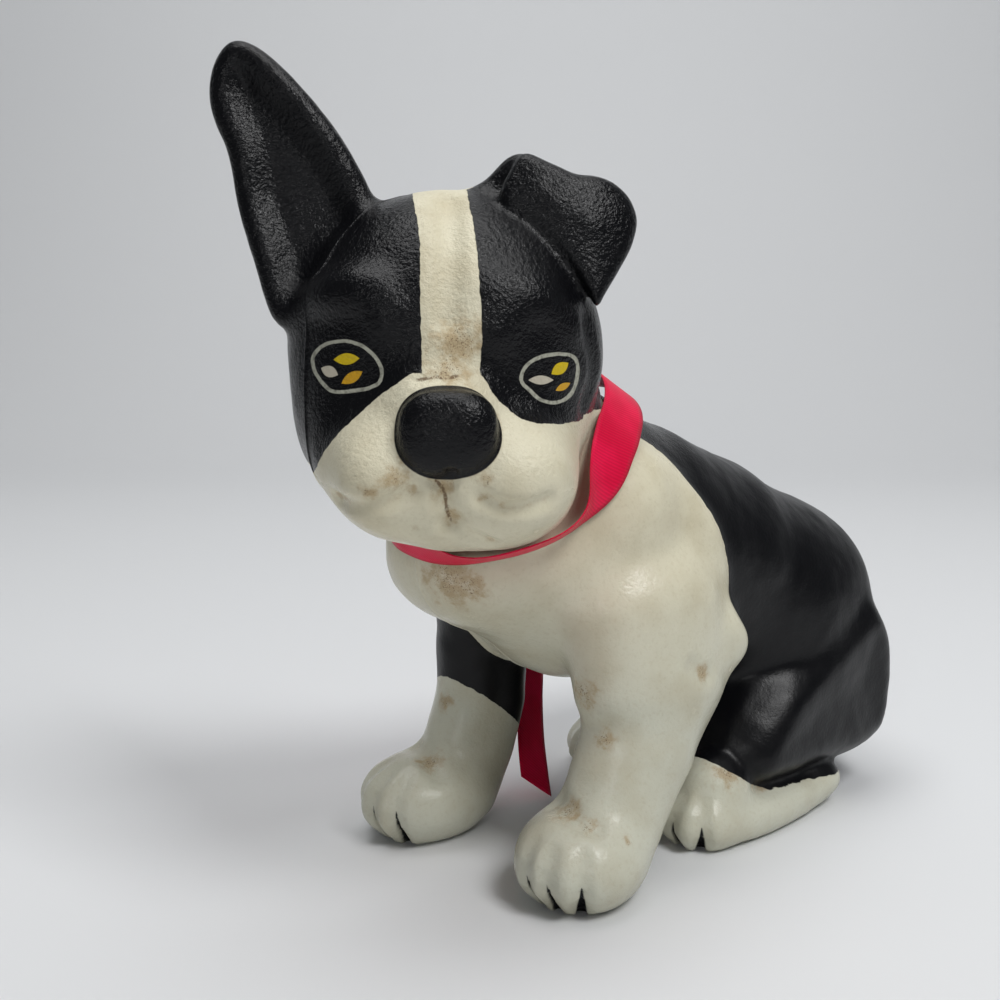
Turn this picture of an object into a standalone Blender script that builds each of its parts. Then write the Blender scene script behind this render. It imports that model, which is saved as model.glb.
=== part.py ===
"""Seated puppy doorstop: a hollow iron casting in two halves, drawn together by one long screw,
with a satin ribbon tied round the neck. Metres, +Z up. The puppy faces -Y, its left side is +X, and
z = 0 is the floor. The head is turned to the puppy's left and has its own frame. Sizes are in
millimetres, times MM."""

import math

import bmesh
import bpy
from mathutils import Matrix, Vector
from mathutils.bvhtree import BVHTree

MM = 0.001

# Casting
WALL = 4.5 * MM
PARTING_X = -8 * MM  # the seam runs a little to the puppy's right, clear of the face and chest
PARTING_GAP = 0.3 * MM
FINE_GRAIN = 1.7 * MM  # voxel of the outer skin
CORE_GRAIN = 3.0 * MM  # voxel of the sand core
SKIN_TRIANGLES = 8000
CORE_TRIANGLES = 1600

# Trunk
CHEST_HALF_WIDTH = 34 * MM
NECK_RADIUS = 31 * MM
BARREL_HALF_WIDTH = 40 * MM
RUMP_HALF_WIDTH = 47.5 * MM
RUMP_HALF_LENGTH = 46.5 * MM
RUMP_HALF_HEIGHT = 51 * MM
RUMP_Y = 127 * MM
RUMP_Z = 57 * MM
SHOULDER_STEP = 2.4 * MM  # how far the shoulders stand proud of the flanks

# Forelegs
FORE_STANCE = 35 * MM  # each forepaw's centre line from the middle
PAW_HALF_WIDTH = 19.5 * MM
PAW_HALF_LENGTH = 24 * MM
PAW_HALF_HEIGHT = 13.5 * MM
LEFT_PAW_TURN = 17  # degrees outwards
ELBOW_RADIUS = 9 * MM
TOE_SLIT = 2.4 * MM
TOE_SLIT_DEPTH = 5 * MM
TOE_SLIT_HEIGHT = 16 * MM

# Hind legs
HIND_STANCE = 37.5 * MM
HIND_FOOT_HALF_WIDTH = 16 * MM
HIND_FOOT_LENGTH = 84 * MM
HIND_FOOT_HEIGHT = 15.5 * MM
INSTEP_HEIGHT = 30 * MM
LEFT_TOE_Y = 45 * MM
RIGHT_TOE_Y = 78 * MM  # the right hind leg sits further back
THIGH_SEAT = 38 * MM  # where the haunches start to rise from the flanks, from the middle
THIGH_RISE = 15.5 * MM
THIGH_BEVEL = 14 * MM  # from a haunch's edge in to its crest

# Head
HEAD_CENTRE = Vector((0, -23 * MM, 165 * MM))
HEAD_TURN = math.radians(46)
SKULL_HALF_WIDTH = 46.5 * MM
SKULL_HALF_DEPTH = 42 * MM
SKULL_HALF_HEIGHT = 47 * MM
MUZZLE_HALF_WIDTH = 36 * MM
EAR_TIP_Z = 89 * MM  # above the skull's centre
EAR_THICKNESS = 10 * MM
EAR_RIM = 4.5 * MM
EAR_HOLLOW = 4 * MM
FLAP_THICKNESS = 8 * MM
NOSE_HALF_WIDTH = 13.8 * MM
NOSE_HALF_HEIGHT = 11.9 * MM
NOSE_REACH = 58.5 * MM  # from the skull's centre to the front of the nose
NOSE_SQUARENESS = 2.7

# Screw, along X
SCREW_Y = 62 * MM
SCREW_Z = 92 * MM
SCREW_RADIUS = 2.4 * MM
SCREW_CLEARANCE = 0.5 * MM
SCREW_HEAD_RADIUS = 5 * MM
SCREW_HEAD_HEIGHT = 2.6 * MM
SCREW_SLOT = 1.2 * MM
BOSS_RADIUS = 7.5 * MM
SCREW_GRIP = 16 * MM  # how far the screw enters the left boss

# Ribbon
RIBBON_WIDTH = 15 * MM
RIBBON_THICKNESS = 1.2 * MM
RIBBON_GATHERED = 6 * MM  # its width where it comes out of the knot
RIBBON_CLEARANCE = 0.7 * MM
RIBBON_CENTRE = Vector((3 * MM, 0, 133.6 * MM))
RIBBON_SLOPE = math.radians(30)  # higher at the nape than at the throat
RIBBON_LEAN = math.radians(6.7)  # lower on the puppy's left
RIBBON_SLIP = 5 * MM  # how far it has slipped down below the jaw
JAW_ANGLE = math.radians(300)
KNOT_ANGLE = math.radians(190)  # from the puppy's left round by the nape
KNOT_HALF_WIDTH = 8.5 * MM
KNOT_HALF_HEIGHT = 7.5 * MM
KNOT_HALF_DEPTH = 5.5 * MM
KNOT_SINK = 1.2 * MM  # how far it is pressed in round the band
TAIL_CLEARANCE = 2.0 * MM
TAIL_SPREAD = 3 * MM  # how far each tail starts from the knot's middle
LONG_TAIL_HIGH = Vector((8 * MM, 104 * MM))  # (y, z) where the long tail starts to lie on the flank
LONG_TAIL_LOW = Vector((63 * MM, 64 * MM))
LONG_TAIL_HANGS = Vector((-51 * MM, 68 * MM, 53 * MM))  # where it leaves the flank
LONG_TAIL_END = Vector((-24 * MM, 43 * MM, 0))  # where it meets the floor
LONG_TAIL_TRIM = math.radians(-39)  # its end is cut aslant, from its front edge down to its rear one
SHORT_TAIL_HIGH = Vector((27 * MM, 121 * MM))
SHORT_TAIL_LOW = Vector((56 * MM, 89 * MM))
SEAT_GAP = 0.3 * MM


def clear_scene():
    for obj in list(bpy.data.objects):
        bpy.data.objects.remove(obj, do_unlink=True)


def material(name, colour, roughness, metallic):
    made = bpy.data.materials.new(name)
    made.use_nodes = True
    shader = made.node_tree.nodes["Principled BSDF"]
    shader.inputs["Base Color"].default_value = (*colour, 1)
    shader.inputs["Roughness"].default_value = roughness
    shader.inputs["Metallic"].default_value = metallic
    return made


def object_of(name, mesh_edit, matrix=None):
    if matrix is not None:
        bmesh.ops.transform(mesh_edit, matrix=matrix, verts=mesh_edit.verts)
    bmesh.ops.recalc_face_normals(mesh_edit, faces=mesh_edit.faces)
    mesh = bpy.data.meshes.new(name)
    mesh_edit.to_mesh(mesh)
    mesh_edit.free()
    obj = bpy.data.objects.new(name, mesh)
    bpy.context.scene.collection.objects.link(obj)
    return obj


def helper(obj):
    obj.hide_render = True
    obj.display_type = "WIRE"
    return obj


def turned(x=0, y=0, z=0):
    """A rotation about x, then y, then z, in degrees."""
    turns = ((z, "Z"), (y, "Y"), (x, "X"))
    total = Matrix.Identity(4)
    for angle, axis in turns:
        total = total @ Matrix.Rotation(math.radians(angle), 4, axis)
    return total


def mass(centre, radii, turn=None, frame=None, squareness=2):
    """One rounded mass of the figure: an ellipsoid of these half sizes, squarer where squareness is over 2."""
    edit = bmesh.new()
    bmesh.ops.create_uvsphere(edit, u_segments=28, v_segments=18, radius=1)
    for vert in edit.verts:
        spread = sum(abs(value) ** squareness for value in vert.co) ** (1 / squareness)
        vert.co /= spread
    place = Matrix.Translation(Vector(centre)) @ (turn or Matrix.Identity(4)) @ Matrix.Diagonal((*radii, 1))
    return object_of("mass", edit, (frame or Matrix.Identity(4)) @ place)


def limb(stations, frame=None, sides=24):
    """A tapering limb with round ends. Each station is (centre, half width in x, half depth)."""
    edit = bmesh.new()
    centres = [Vector(station[0]) for station in stations]
    rings = []
    for i, (centre, half_width, half_depth) in enumerate(stations):
        before = centres[max(i - 1, 0)]
        after = centres[min(i + 1, len(centres) - 1)]
        along = (after - before).normalized()
        deep = along.cross(Vector((1, 0, 0))).normalized()
        wide = deep.cross(along).normalized()
        ends = (-1, 1) if len(stations) == 1 else ((-1,) if i == 0 else (1,) if i == len(stations) - 1 else ())
        caps = [(step, end) for end in ends for step in (0.35, 0.7, 0.92)]
        levels = [(0.0, 1.0)]
        for step, end in caps:
            levels.append((end * step * min(half_width, half_depth), math.sqrt(1 - step * step)))
        levels.sort()
        for shift, share in levels:
            ring = []
            for k in range(sides):
                angle = 2 * math.pi * k / sides
                offset = wide * half_width * math.cos(angle) + deep * half_depth * math.sin(angle)
                ring.append(edit.verts.new(Vector(centre) + along * shift + offset * share))
            rings.append(ring)
    for lower, upper in zip(rings, rings[1:]):
        for k in range(sides):
            edit.faces.new((lower[k], lower[(k + 1) % sides], upper[(k + 1) % sides], upper[k]))
    edit.faces.new(rings[0])
    edit.faces.new(rings[-1])
    return object_of("limb", edit, frame)


def box(name, low, high):
    edit = bmesh.new()
    bmesh.ops.create_cube(edit, size=1)
    size = Vector(high) - Vector(low)
    middle = (Vector(high) + Vector(low)) / 2
    return object_of(name, edit, Matrix.Translation(middle) @ Matrix.Diagonal((*size, 1)))


def rod(name, start, end, radius, sides=24):
    edit = bmesh.new()
    axis = Vector(end) - Vector(start)
    bmesh.ops.create_cone(
        edit, cap_ends=True, segments=sides, radius1=radius, radius2=radius, depth=axis.length
    )
    turn = axis.to_track_quat("Z", "Y").to_matrix().to_4x4()
    return object_of(name, edit, Matrix.Translation((Vector(start) + Vector(end)) / 2) @ turn)


def apply_modifiers(obj):
    graph = bpy.context.evaluated_depsgraph_get()
    mesh = bpy.data.meshes.new_from_object(obj.evaluated_get(graph))
    obj.modifiers.clear()
    obj.data = mesh
    return obj


def add_modifier(obj, kind, **settings):
    modifier = obj.modifiers.new(kind.title(), kind)
    for key, value in settings.items():
        setattr(modifier, key, value)
    return modifier


def merged(name, pieces):
    edit = bmesh.new()
    for piece in pieces:
        edit.from_mesh(piece.data)
        bpy.data.objects.remove(piece, do_unlink=True)
    return object_of(name, edit)


def fused(name, pieces, grain, smoothing):
    """The masses grown into one skin, with the joins between them softened."""
    obj = merged(name, pieces)
    add_modifier(obj, "REMESH", mode="VOXEL", voxel_size=grain)
    add_modifier(obj, "SMOOTH", factor=0.5, iterations=smoothing)
    return apply_modifiers(obj)


def thinned(obj, triangles):
    """The same surface in about this many triangles."""
    now = 2 * len(obj.data.polygons)
    add_modifier(obj, "DECIMATE", ratio=min(1, triangles / now))
    return apply_modifiers(obj)


def boolean(obj, other, operation):
    add_modifier(obj, "BOOLEAN", object=other, operation=operation, solver="EXACT")
    helper(other)
    return apply_modifiers(obj)


def head_frame():
    """The head's own axes: x to the viewer's right across the face, -y out of the face, z up."""
    return Matrix.Translation(HEAD_CENTRE) @ Matrix.Rotation(HEAD_TURN, 4, "Z")


def trunk_masses():
    """Chest, barrel, rump and neck, from the throat to the seat."""
    return [
        limb(
            [
                ((-3 * MM, 4 * MM, 113 * MM), CHEST_HALF_WIDTH, 31 * MM),
                ((0, 31 * MM, 88 * MM), CHEST_HALF_WIDTH + 2 * MM, 32 * MM),
            ]
        ),
        mass((-8 * MM, -1 * MM, 99 * MM), (CHEST_HALF_WIDTH - 4.5 * MM, 25.5 * MM, 22 * MM)),
        limb(
            [
                ((0, 26 * MM, 110 * MM), BARREL_HALF_WIDTH - 3 * MM, 41 * MM),
                ((1 * MM, 56 * MM, 99 * MM), BARREL_HALF_WIDTH, 41 * MM),
                ((2 * MM, 90 * MM, 85 * MM), BARREL_HALF_WIDTH + 2 * MM, 42 * MM),
                ((3 * MM, 114 * MM, 71 * MM), RUMP_HALF_WIDTH - 2.5 * MM, 43 * MM),
            ]
        ),
        mass(
            (2.5 * MM, RUMP_Y, RUMP_Z), (RUMP_HALF_WIDTH, RUMP_HALF_LENGTH, RUMP_HALF_HEIGHT), squareness=2.4
        ),
        mass((4 * MM, RUMP_Y - 2 * MM, 30 * MM), (RUMP_HALF_WIDTH - 4.5 * MM, RUMP_HALF_LENGTH - 4.5 * MM, 31 * MM)),
        limb(
            [
                ((-2 * MM, 27 * MM, 116 * MM), NECK_RADIUS + 3 * MM, NECK_RADIUS + 3 * MM),
                ((-4 * MM, 5 * MM, 136 * MM), NECK_RADIUS, NECK_RADIUS),
                ((-3 * MM, -10 * MM, 152 * MM), NECK_RADIUS, NECK_RADIUS),
            ]
        ),
    ]


def skull_masses():
    """The skull, the cheeks and the muzzle's root, in the head's frame."""
    frame = head_frame()
    masses = [
        mass((1 * MM, 0, 0), (SKULL_HALF_WIDTH, SKULL_HALF_DEPTH, SKULL_HALF_HEIGHT), frame=frame),
        mass((1 * MM, -24 * MM, -29.5 * MM), (MUZZLE_HALF_WIDTH, 28 * MM, 23 * MM), frame=frame),
    ]
    for side in (-1, 1):
        cheek = (1.5 * MM + side * 24 * MM, -6 * MM, -17 * MM)
        masses.append(mass(cheek, (18.5 * MM, 27 * MM, 25 * MM), frame=frame))
    return masses


def face_masses():
    """Flews, chin, brows and nose bridge, in the head's frame."""
    frame = head_frame()
    masses = [
        mass((1 * MM, -33 * MM, -15 * MM), (18 * MM, 19 * MM, 15 * MM), frame=frame),
        mass((3 * MM, -34 * MM, -43 * MM), (18 * MM, 14 * MM, 10.5 * MM), frame=frame),
    ]
    for side in (-1, 1):
        flew = (1.5 * MM + side * 16.5 * MM, -30 * MM, -31 * MM)
        masses.append(mass(flew, (18 * MM, 23 * MM, 18 * MM), turned(z=side * 12), frame))
        brow = (side * 22 * MM, -29 * MM, 17 * MM)
        masses.append(mass(brow, (13 * MM, 6 * MM, 7 * MM), turned(z=side * 30), frame))
    return masses


def nose():
    """The nose pad, a rounded box."""
    depth = 8.5 * MM
    centre = (2.6 * MM, depth - NOSE_REACH, -18.7 * MM)
    radii = (NOSE_HALF_WIDTH, depth, NOSE_HALF_HEIGHT)
    return mass(centre, radii, frame=head_frame(), squareness=NOSE_SQUARENESS)


def plate(outline, front, back, steps, frame):
    """A plate from its outline in (x, z) of a frame, between two layers in y.
    Each step insets its front face by the first size and raises it by the second."""
    edit = bmesh.new()
    near = [edit.verts.new((x, front(x, z), z)) for x, z in outline]
    far = [edit.verts.new((x, back(x, z), z)) for x, z in outline]
    face = edit.faces.new(near)
    edit.faces.new(far[::-1])
    for k in range(len(outline)):
        n = (k + 1) % len(outline)
        edit.faces.new((near[n], near[k], far[k], far[n]))
    bmesh.ops.recalc_face_normals(edit, faces=edit.faces)
    for inset, rise in steps:
        bmesh.ops.inset_region(edit, faces=[face], thickness=inset, depth=rise, use_even_offset=True)
    return object_of("plate", edit, frame)


def upright_ear():
    """The ear on the puppy's right, pricked, hollow in front, leaning outwards to a rounded tip."""
    shares = [(-46, 0.09), (-54, 0.3), (-59, 0.48), (-61.5, 0.64), (-66, 0.76), (-67, 0.865), (-64.5, 0.955)]
    shares += [(-59.5, 1), (-53, 0.983), (-45, 0.91), (-37, 0.82), (-30, 0.72), (-25, 0.63), (-20.5, 0.53)]
    shares += [(-18, 0.4), (-28, 0.18)]
    outline = [(x * MM, share * EAR_TIP_Z) for x, share in shares]

    def middle(x, z):
        return -5 * MM + 0.1 * (z - 30 * MM) + 6 * (x + 40 * MM) ** 2

    def half(z):
        root = min(max((45 * MM - z) / 5, 0), 7 * MM)
        return (EAR_THICKNESS + root) / 2

    steps = [(EAR_RIM, 0), (1.4 * EAR_RIM, -EAR_HOLLOW)]
    return plate(outline, lambda x, z: middle(x, z) - half(z), lambda x, z: middle(x, z) + half(z), steps, head_frame())


def folded_ear():
    """The ear on the puppy's left: a short stem whose flap falls forward and outward."""
    stem = [(4, 30), (8, 44), (14, 51), (20, 56.5), (26, 56.5), (34, 51), (42, 42), (42, 24)]
    flap = [(17, 43), (19, 50.5), (23.5, 56.5), (30, 54.5), (38, 51), (46.5, 50), (53, 46), (56.3, 39)]
    flap += [(55, 31), (51, 23.5), (47, 17), (44, 13), (41, 18), (36, 26), (27, 35)]

    def stem_middle(x):
        return 3 * MM - 0.1 * x

    def flap_middle(x, z):
        return -15 * MM + 0.3 * (z - 35 * MM) + 12 * max(x - 30 * MM, 0) ** 2

    stem_half, flap_half = 7.5 * MM, FLAP_THICKNESS / 2
    return [
        plate([(x * MM, z * MM) for x, z in stem], lambda x, z: stem_middle(x) - stem_half,
              lambda x, z: stem_middle(x) + stem_half, [(3 * MM, 1 * MM)], head_frame()),
        plate([(x * MM, z * MM) for x, z in flap], lambda x, z: flap_middle(x, z) - flap_half,
              lambda x, z: flap_middle(x, z) + flap_half, [(4 * MM, 1.5 * MM)], head_frame()),
    ]


def paw_place(side):
    """A forepaw's middle on the floor, and the way it points."""
    turn = math.radians(LEFT_PAW_TURN) if side > 0 else 0
    return Vector((side * FORE_STANCE + 0.5 * MM, 1 * MM, 0)), turn


def foreleg_masses(side):
    x = side * FORE_STANCE
    if side > 0:
        stations = [
            ((x - 5 * MM, 34 * MM, 84 * MM), 20 * MM, 29 * MM),
            ((x - 1.5 * MM, 34.5 * MM, 62 * MM), 18.5 * MM, 28 * MM),
            ((x, 27 * MM, 42 * MM), 15 * MM, 18.5 * MM),
            ((x, 16 * MM, 24 * MM), 14.5 * MM, 16 * MM),
        ]
    else:
        stations = [
            ((x + 5 * MM, 30 * MM, 84 * MM), 20 * MM, 24 * MM),
            ((x + 1.5 * MM, 26 * MM, 62 * MM), 14 * MM, 16 * MM),
            ((x + 0.5 * MM, 26.5 * MM, 42 * MM), 13 * MM, 16 * MM),
            ((x + 0.5 * MM, 18 * MM, 24 * MM), 13.5 * MM, 14.5 * MM),
        ]
    middle, turn = paw_place(side)
    radii = (PAW_HALF_WIDTH, PAW_HALF_LENGTH, PAW_HALF_HEIGHT)
    centre = middle + Vector((0, 0, PAW_HALF_HEIGHT - 1 * MM))
    paw = mass(centre, radii, Matrix.Rotation(turn, 4, "Z"), squareness=2.1)
    elbow = mass((side * 42 * MM, 60.5 * MM, 72 * MM), (ELBOW_RADIUS, ELBOW_RADIUS, ELBOW_RADIUS + 1 * MM))
    return [limb(stations), paw, elbow]


def hind_foot_masses(side, toe_y):
    """A flat sole with blunt toes, a high instep and a low heel."""
    half = HIND_FOOT_LENGTH / 2
    width = HIND_FOOT_HALF_WIDTH
    low = HIND_FOOT_HEIGHT
    return [
        mass((side * HIND_STANCE, toe_y + half, low - 9 * MM), (width, half, 9 * MM), squareness=2.4),
        mass((side * (HIND_STANCE - 1.5 * MM), toe_y + 14 * MM, 8.5 * MM), (width - 1 * MM, 14.5 * MM, 11 * MM)),
        mass((side * (HIND_STANCE - 1.5 * MM), toe_y + 21 * MM, INSTEP_HEIGHT - 17 * MM),
             (width - 3 * MM, 15 * MM, 17 * MM)),
        mass((side * (HIND_STANCE + 3.5 * MM), toe_y + 2 * half - 12.5 * MM, 8.5 * MM), (11.5 * MM, 14 * MM, 8.5 * MM)),
    ]


def thigh(side, toe_y):
    """The haunch's flat muscle, which rises from the flank to a crest along its front."""
    knee = toe_y + 25 * MM
    rear = RUMP_Y + RUMP_HALF_LENGTH
    outline = [(knee, 19 * MM), (knee - 1 * MM, 32 * MM), (knee + 15 * MM, 50 * MM), (knee + 35 * MM, 61 * MM)]
    outline += [(RUMP_Y + 1 * MM, 71 * MM), (rear - 27.5 * MM, 76 * MM), (rear - 12.5 * MM, 62 * MM)]
    outline += [(rear - 8.5 * MM, 40 * MM), (rear - 13.5 * MM, 18 * MM), (rear - 29.5 * MM, 10 * MM)]
    outline += [(RUMP_Y - 15 * MM, 11 * MM), (knee + 12 * MM, 12 * MM)]
    side_frame = Matrix(((0, -side, 0, 0), (1, 0, 0, 0), (0, 0, 1, 0), (0, 0, 0, 1)))
    steps = []
    for before, after in ((0, 0.35), (0.35, 0.7), (0.7, 1)):
        rise = THIGH_RISE * ((1 - before) ** 2 - (1 - after) ** 2)
        steps.append((THIGH_BEVEL * (after - before), rise))
    return plate(outline, lambda y, z: -THIGH_SEAT, lambda y, z: -THIGH_SEAT / 2, steps, side_frame)


def toe_cutters(middle, turn, radii, angles):
    """Upright wedges that part the toes, fanned like the toes themselves, widest at the sole."""
    blades = []
    for angle in angles:
        angle = math.radians(angle)
        reach = 1 / math.hypot(math.sin(angle) / radii[0], math.cos(angle) / radii[1])
        edit = bmesh.new()
        bmesh.ops.create_cube(edit, size=1)
        for vert in edit.verts:
            if vert.co.z > 0:
                vert.co.x *= 0.25
        size = Matrix.Diagonal((TOE_SLIT, 2 * TOE_SLIT_DEPTH, TOE_SLIT_HEIGHT, 1))
        place = Matrix.Translation(middle) @ Matrix.Rotation(turn + angle, 4, "Z")
        place = place @ Matrix.Translation((0, -reach, TOE_SLIT_HEIGHT / 2 - 2 * MM))
        blades.append(object_of("blade", edit, place @ size))
    return blades


def raise_shoulders(figure):
    """Lifts the shoulders and chest proud of the flanks, with a soft step along a line down each side."""
    lines = {
        1: [(30, 150), (43, 132), (59, 110), (65, 92), (63, 79), (68, 66), (58, 52), (46, 38), (34, 14)],
        -1: [(-22, 150), (-13, 136), (2, 121), (10, 106), (16, 92), (30, 70), (34, 40), (34, 14)],
    }
    moves = []
    for vert in figure.data.vertices:
        side = 1 if vert.co.x > 0 else -1
        outer = min(max((abs(vert.co.x) / MM - 14) / 16, 0), 1)
        line = lines[side]
        z = vert.co.z / MM
        for (y0, z0), (y1, z1) in zip(line, line[1:]):
            if z1 <= z <= z0:
                edge = y0 + (y1 - y0) * (z0 - z) / (z0 - z1)
                front = min(max(0.5 + (edge - vert.co.y / MM) / 5, 0), 1)
                top = min(max((150 - z) / 20, 0), 1)
                moves.append((vert.index, vert.normal * SHOULDER_STEP * outer * front * top))
                break
    for index, move in moves:
        figure.data.vertices[index].co += move


def outer_figure():
    """The whole figure as one skin, flat where it stands."""
    broad = trunk_masses() + skull_masses()
    feet = []
    for side, toe_y in ((1, LEFT_TOE_Y), (-1, RIGHT_TOE_Y)):
        broad += foreleg_masses(side) + [thigh(side, toe_y)]
        feet += hind_foot_masses(side, toe_y)
    body = fused("broad_figure", broad, FINE_GRAIN, 7)
    raise_shoulders(body)
    finer = [body] + feet + face_masses() + [upright_ear()] + folded_ear()
    figure = fused("figure", finer, FINE_GRAIN, 3)
    figure = fused("figure", [figure, nose()], FINE_GRAIN, 1)
    cuts = []
    for side, toe_y in ((1, LEFT_TOE_Y), (-1, RIGHT_TOE_Y)):
        middle, turn = paw_place(side)
        cuts += toe_cutters(middle, turn, (PAW_HALF_WIDTH, PAW_HALF_LENGTH), (-23, 2, 26))
        toes = Vector((side * (HIND_STANCE - 1.5 * MM), toe_y + 14 * MM, 0))
        cuts += toe_cutters(toes, 0, (HIND_FOOT_HALF_WIDTH - 1 * MM, 14.5 * MM), (-42, 0, 42))
    figure = thinned(figure, SKIN_TRIANGLES)
    floor = box("floor", (-0.3, -0.3, -0.1), (0.3, 0.3, 0))
    boolean(figure, floor, "DIFFERENCE")
    for cut in cuts:
        boolean(figure, cut, "DIFFERENCE")
    return figure


def sand_core():
    """What leaves the trunk and head hollow, one wall inside the skin."""
    core = fused("core", trunk_masses() + skull_masses(), CORE_GRAIN, 6)
    add_modifier(core, "DISPLACE", strength=-WALL, mid_level=0)
    add_modifier(core, "REMESH", mode="VOXEL", voxel_size=CORE_GRAIN)
    add_modifier(core, "SMOOTH", factor=0.5, iterations=2)
    core = thinned(apply_modifiers(core), CORE_TRIANGLES)
    floor = box("core_floor", (-0.3, -0.3, -0.1), (0.3, 0.3, WALL))
    return boolean(core, floor, "DIFFERENCE")


def surface_x(skin, y, z, side):
    """Where the skin stands at this height and depth, on one side."""
    start = Vector((side * 0.2, y, z))
    point = skin.ray_cast(start, Vector((-side, 0, 0)))[0]
    return point.x


def skin_of(obj):
    edit = bmesh.new()
    edit.from_mesh(obj.data)
    tree = BVHTree.FromBMesh(edit)
    edit.free()
    return tree


def casting_halves(iron):
    figure = outer_figure()
    core = sand_core()
    skin = skin_of(figure)
    far_left = surface_x(skin, SCREW_Y, SCREW_Z, 1)
    far_right = surface_x(skin, SCREW_Y, SCREW_Z, -1)
    halves = {}
    for name, side in (("casting_left_half", 1), ("casting_right_half", -1)):
        face = PARTING_X + side * PARTING_GAP / 2
        low = (min(face, side * 0.3), -0.3, -0.1)
        high = (max(face, side * 0.3), 0.3, 0.4)
        half = figure.copy()
        half.data = figure.data.copy()
        half.name = name
        bpy.context.scene.collection.objects.link(half)
        boolean(half, box("side_box", low, high), "INTERSECT")
        boolean(half, core, "DIFFERENCE")
        halves[name] = half
    left, right = halves["casting_left_half"], halves["casting_right_half"]
    left_face = PARTING_X + PARTING_GAP / 2
    right_face = PARTING_X - PARTING_GAP / 2
    left_boss = rod(
        "left_boss", (left_face, SCREW_Y, SCREW_Z), (far_left - WALL / 2, SCREW_Y, SCREW_Z), BOSS_RADIUS
    )
    right_boss = rod(
        "right_boss", (far_right + WALL / 2, SCREW_Y, SCREW_Z), (right_face, SCREW_Y, SCREW_Z), BOSS_RADIUS
    )
    boolean(left, left_boss, "UNION")
    boolean(right, right_boss, "UNION")
    bore = SCREW_RADIUS + SCREW_CLEARANCE
    seat = far_right + 3 * MM
    tip = PARTING_X + SCREW_GRIP
    boolean(left, rod("tapped_hole", (left_face - 1 * MM, SCREW_Y, SCREW_Z),
                      (tip + 1 * MM, SCREW_Y, SCREW_Z), bore), "DIFFERENCE")
    boolean(right, rod("clear_hole", (seat - 1 * MM, SCREW_Y, SCREW_Z),
                       (right_face + 1 * MM, SCREW_Y, SCREW_Z), bore), "DIFFERENCE")
    boolean(right, rod("head_recess", (far_right - 20 * MM, SCREW_Y, SCREW_Z),
                       (seat, SCREW_Y, SCREW_Z), SCREW_HEAD_RADIUS + SCREW_CLEARANCE), "DIFFERENCE")
    for half in (left, right):
        half.data.materials.append(iron)
        half.data.shade_smooth()
    helper(figure)
    return skin, seat, tip


def assembly_screw(seat, tip, steel):
    """A slotted cheese-head screw, its head sunk in the right half."""
    under_head = seat - SEAT_GAP
    top = under_head - SCREW_HEAD_HEIGHT
    screw = rod("assembly_screw", (top, SCREW_Y, SCREW_Z), (under_head, SCREW_Y, SCREW_Z), SCREW_HEAD_RADIUS)
    shank = rod("shank", (under_head - 1 * MM, SCREW_Y, SCREW_Z), (tip, SCREW_Y, SCREW_Z), SCREW_RADIUS)
    boolean(screw, shank, "UNION")
    half_slot = SCREW_SLOT / 2
    slot = box(
        "slot",
        (top - 1 * MM, SCREW_Y - 2 * SCREW_HEAD_RADIUS, SCREW_Z - half_slot),
        (top + SCREW_HEAD_HEIGHT / 2, SCREW_Y + 2 * SCREW_HEAD_RADIUS, SCREW_Z + half_slot),
    )
    boolean(screw, slot, "DIFFERENCE")
    screw.data.materials.append(steel)
    return screw


def ribbon_frame():
    """The neck ribbon's own axes: x to the puppy's left, y to the nape, z along the neck."""
    lean = Matrix.Rotation(RIBBON_LEAN, 4, "Y")
    return Matrix.Translation(RIBBON_CENTRE) @ lean @ Matrix.Rotation(RIBBON_SLOPE, 4, "X")


def neck_reach(skin, angle, height):
    """How far the neck stands from the ribbon's centre, in this direction and at this height."""
    frame = ribbon_frame()
    start = frame @ Vector((0, 0, height))
    out = (frame.to_3x3() @ Vector((math.cos(angle), math.sin(angle), 0))).normalized()
    point = skin.ray_cast(start, out)[0]
    return (point - start).length


def looseness(angle):
    """The ribbon stands off the nape a little, where it was pulled up."""
    return 4 * MM * max(0.0, math.sin(angle)) ** 4


def slipped(angle):
    """How far the ribbon stands below its plane, out of the crease under the jaw."""
    share = min(max((math.cos(angle - JAW_ANGLE) + 0.1) / 0.8, 0), 1)
    return -RIBBON_SLIP * share * share * (3 - 2 * share)


def ribbon_point(skin, angle, height, lift):
    """A point on the ribbon, which bridges the hollows of the neck under it."""
    height = height + slipped(angle)
    spread = [(turn, rise) for turn in (-0.12, -0.06, 0, 0.06, 0.12) for rise in (-2 * MM, 0, 2 * MM)]
    reach = max(neck_reach(skin, angle + turn, height + rise) for turn, rise in spread)
    radius = reach + RIBBON_CLEARANCE + looseness(angle) + lift
    local = Vector((radius * math.cos(angle), radius * math.sin(angle), height))
    return ribbon_frame() @ local


def band_shell(name, skin, under, over, width, steps=48, rows=4):
    """A closed band round the neck, between two heights over it."""
    edit = bmesh.new()
    inner, outer = [], []
    for k in range(steps):
        angle = 2 * math.pi * k / steps
        for store, lift in ((inner, under), (outer, over)):
            heights = [width * (r / (rows - 1) - 0.5) for r in range(rows)]
            store.append([edit.verts.new(ribbon_point(skin, angle, h, lift)) for h in heights])
    for k in range(steps):
        n = (k + 1) % steps
        for r in range(rows - 1):
            edit.faces.new((outer[k][r], outer[n][r], outer[n][r + 1], outer[k][r + 1]))
            edit.faces.new((inner[k][r], inner[k][r + 1], inner[n][r + 1], inner[n][r]))
        edit.faces.new((inner[k][0], inner[n][0], outer[n][0], outer[k][0]))
        edit.faces.new((inner[k][-1], outer[k][-1], outer[n][-1], inner[n][-1]))
    return object_of(name, edit)


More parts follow.
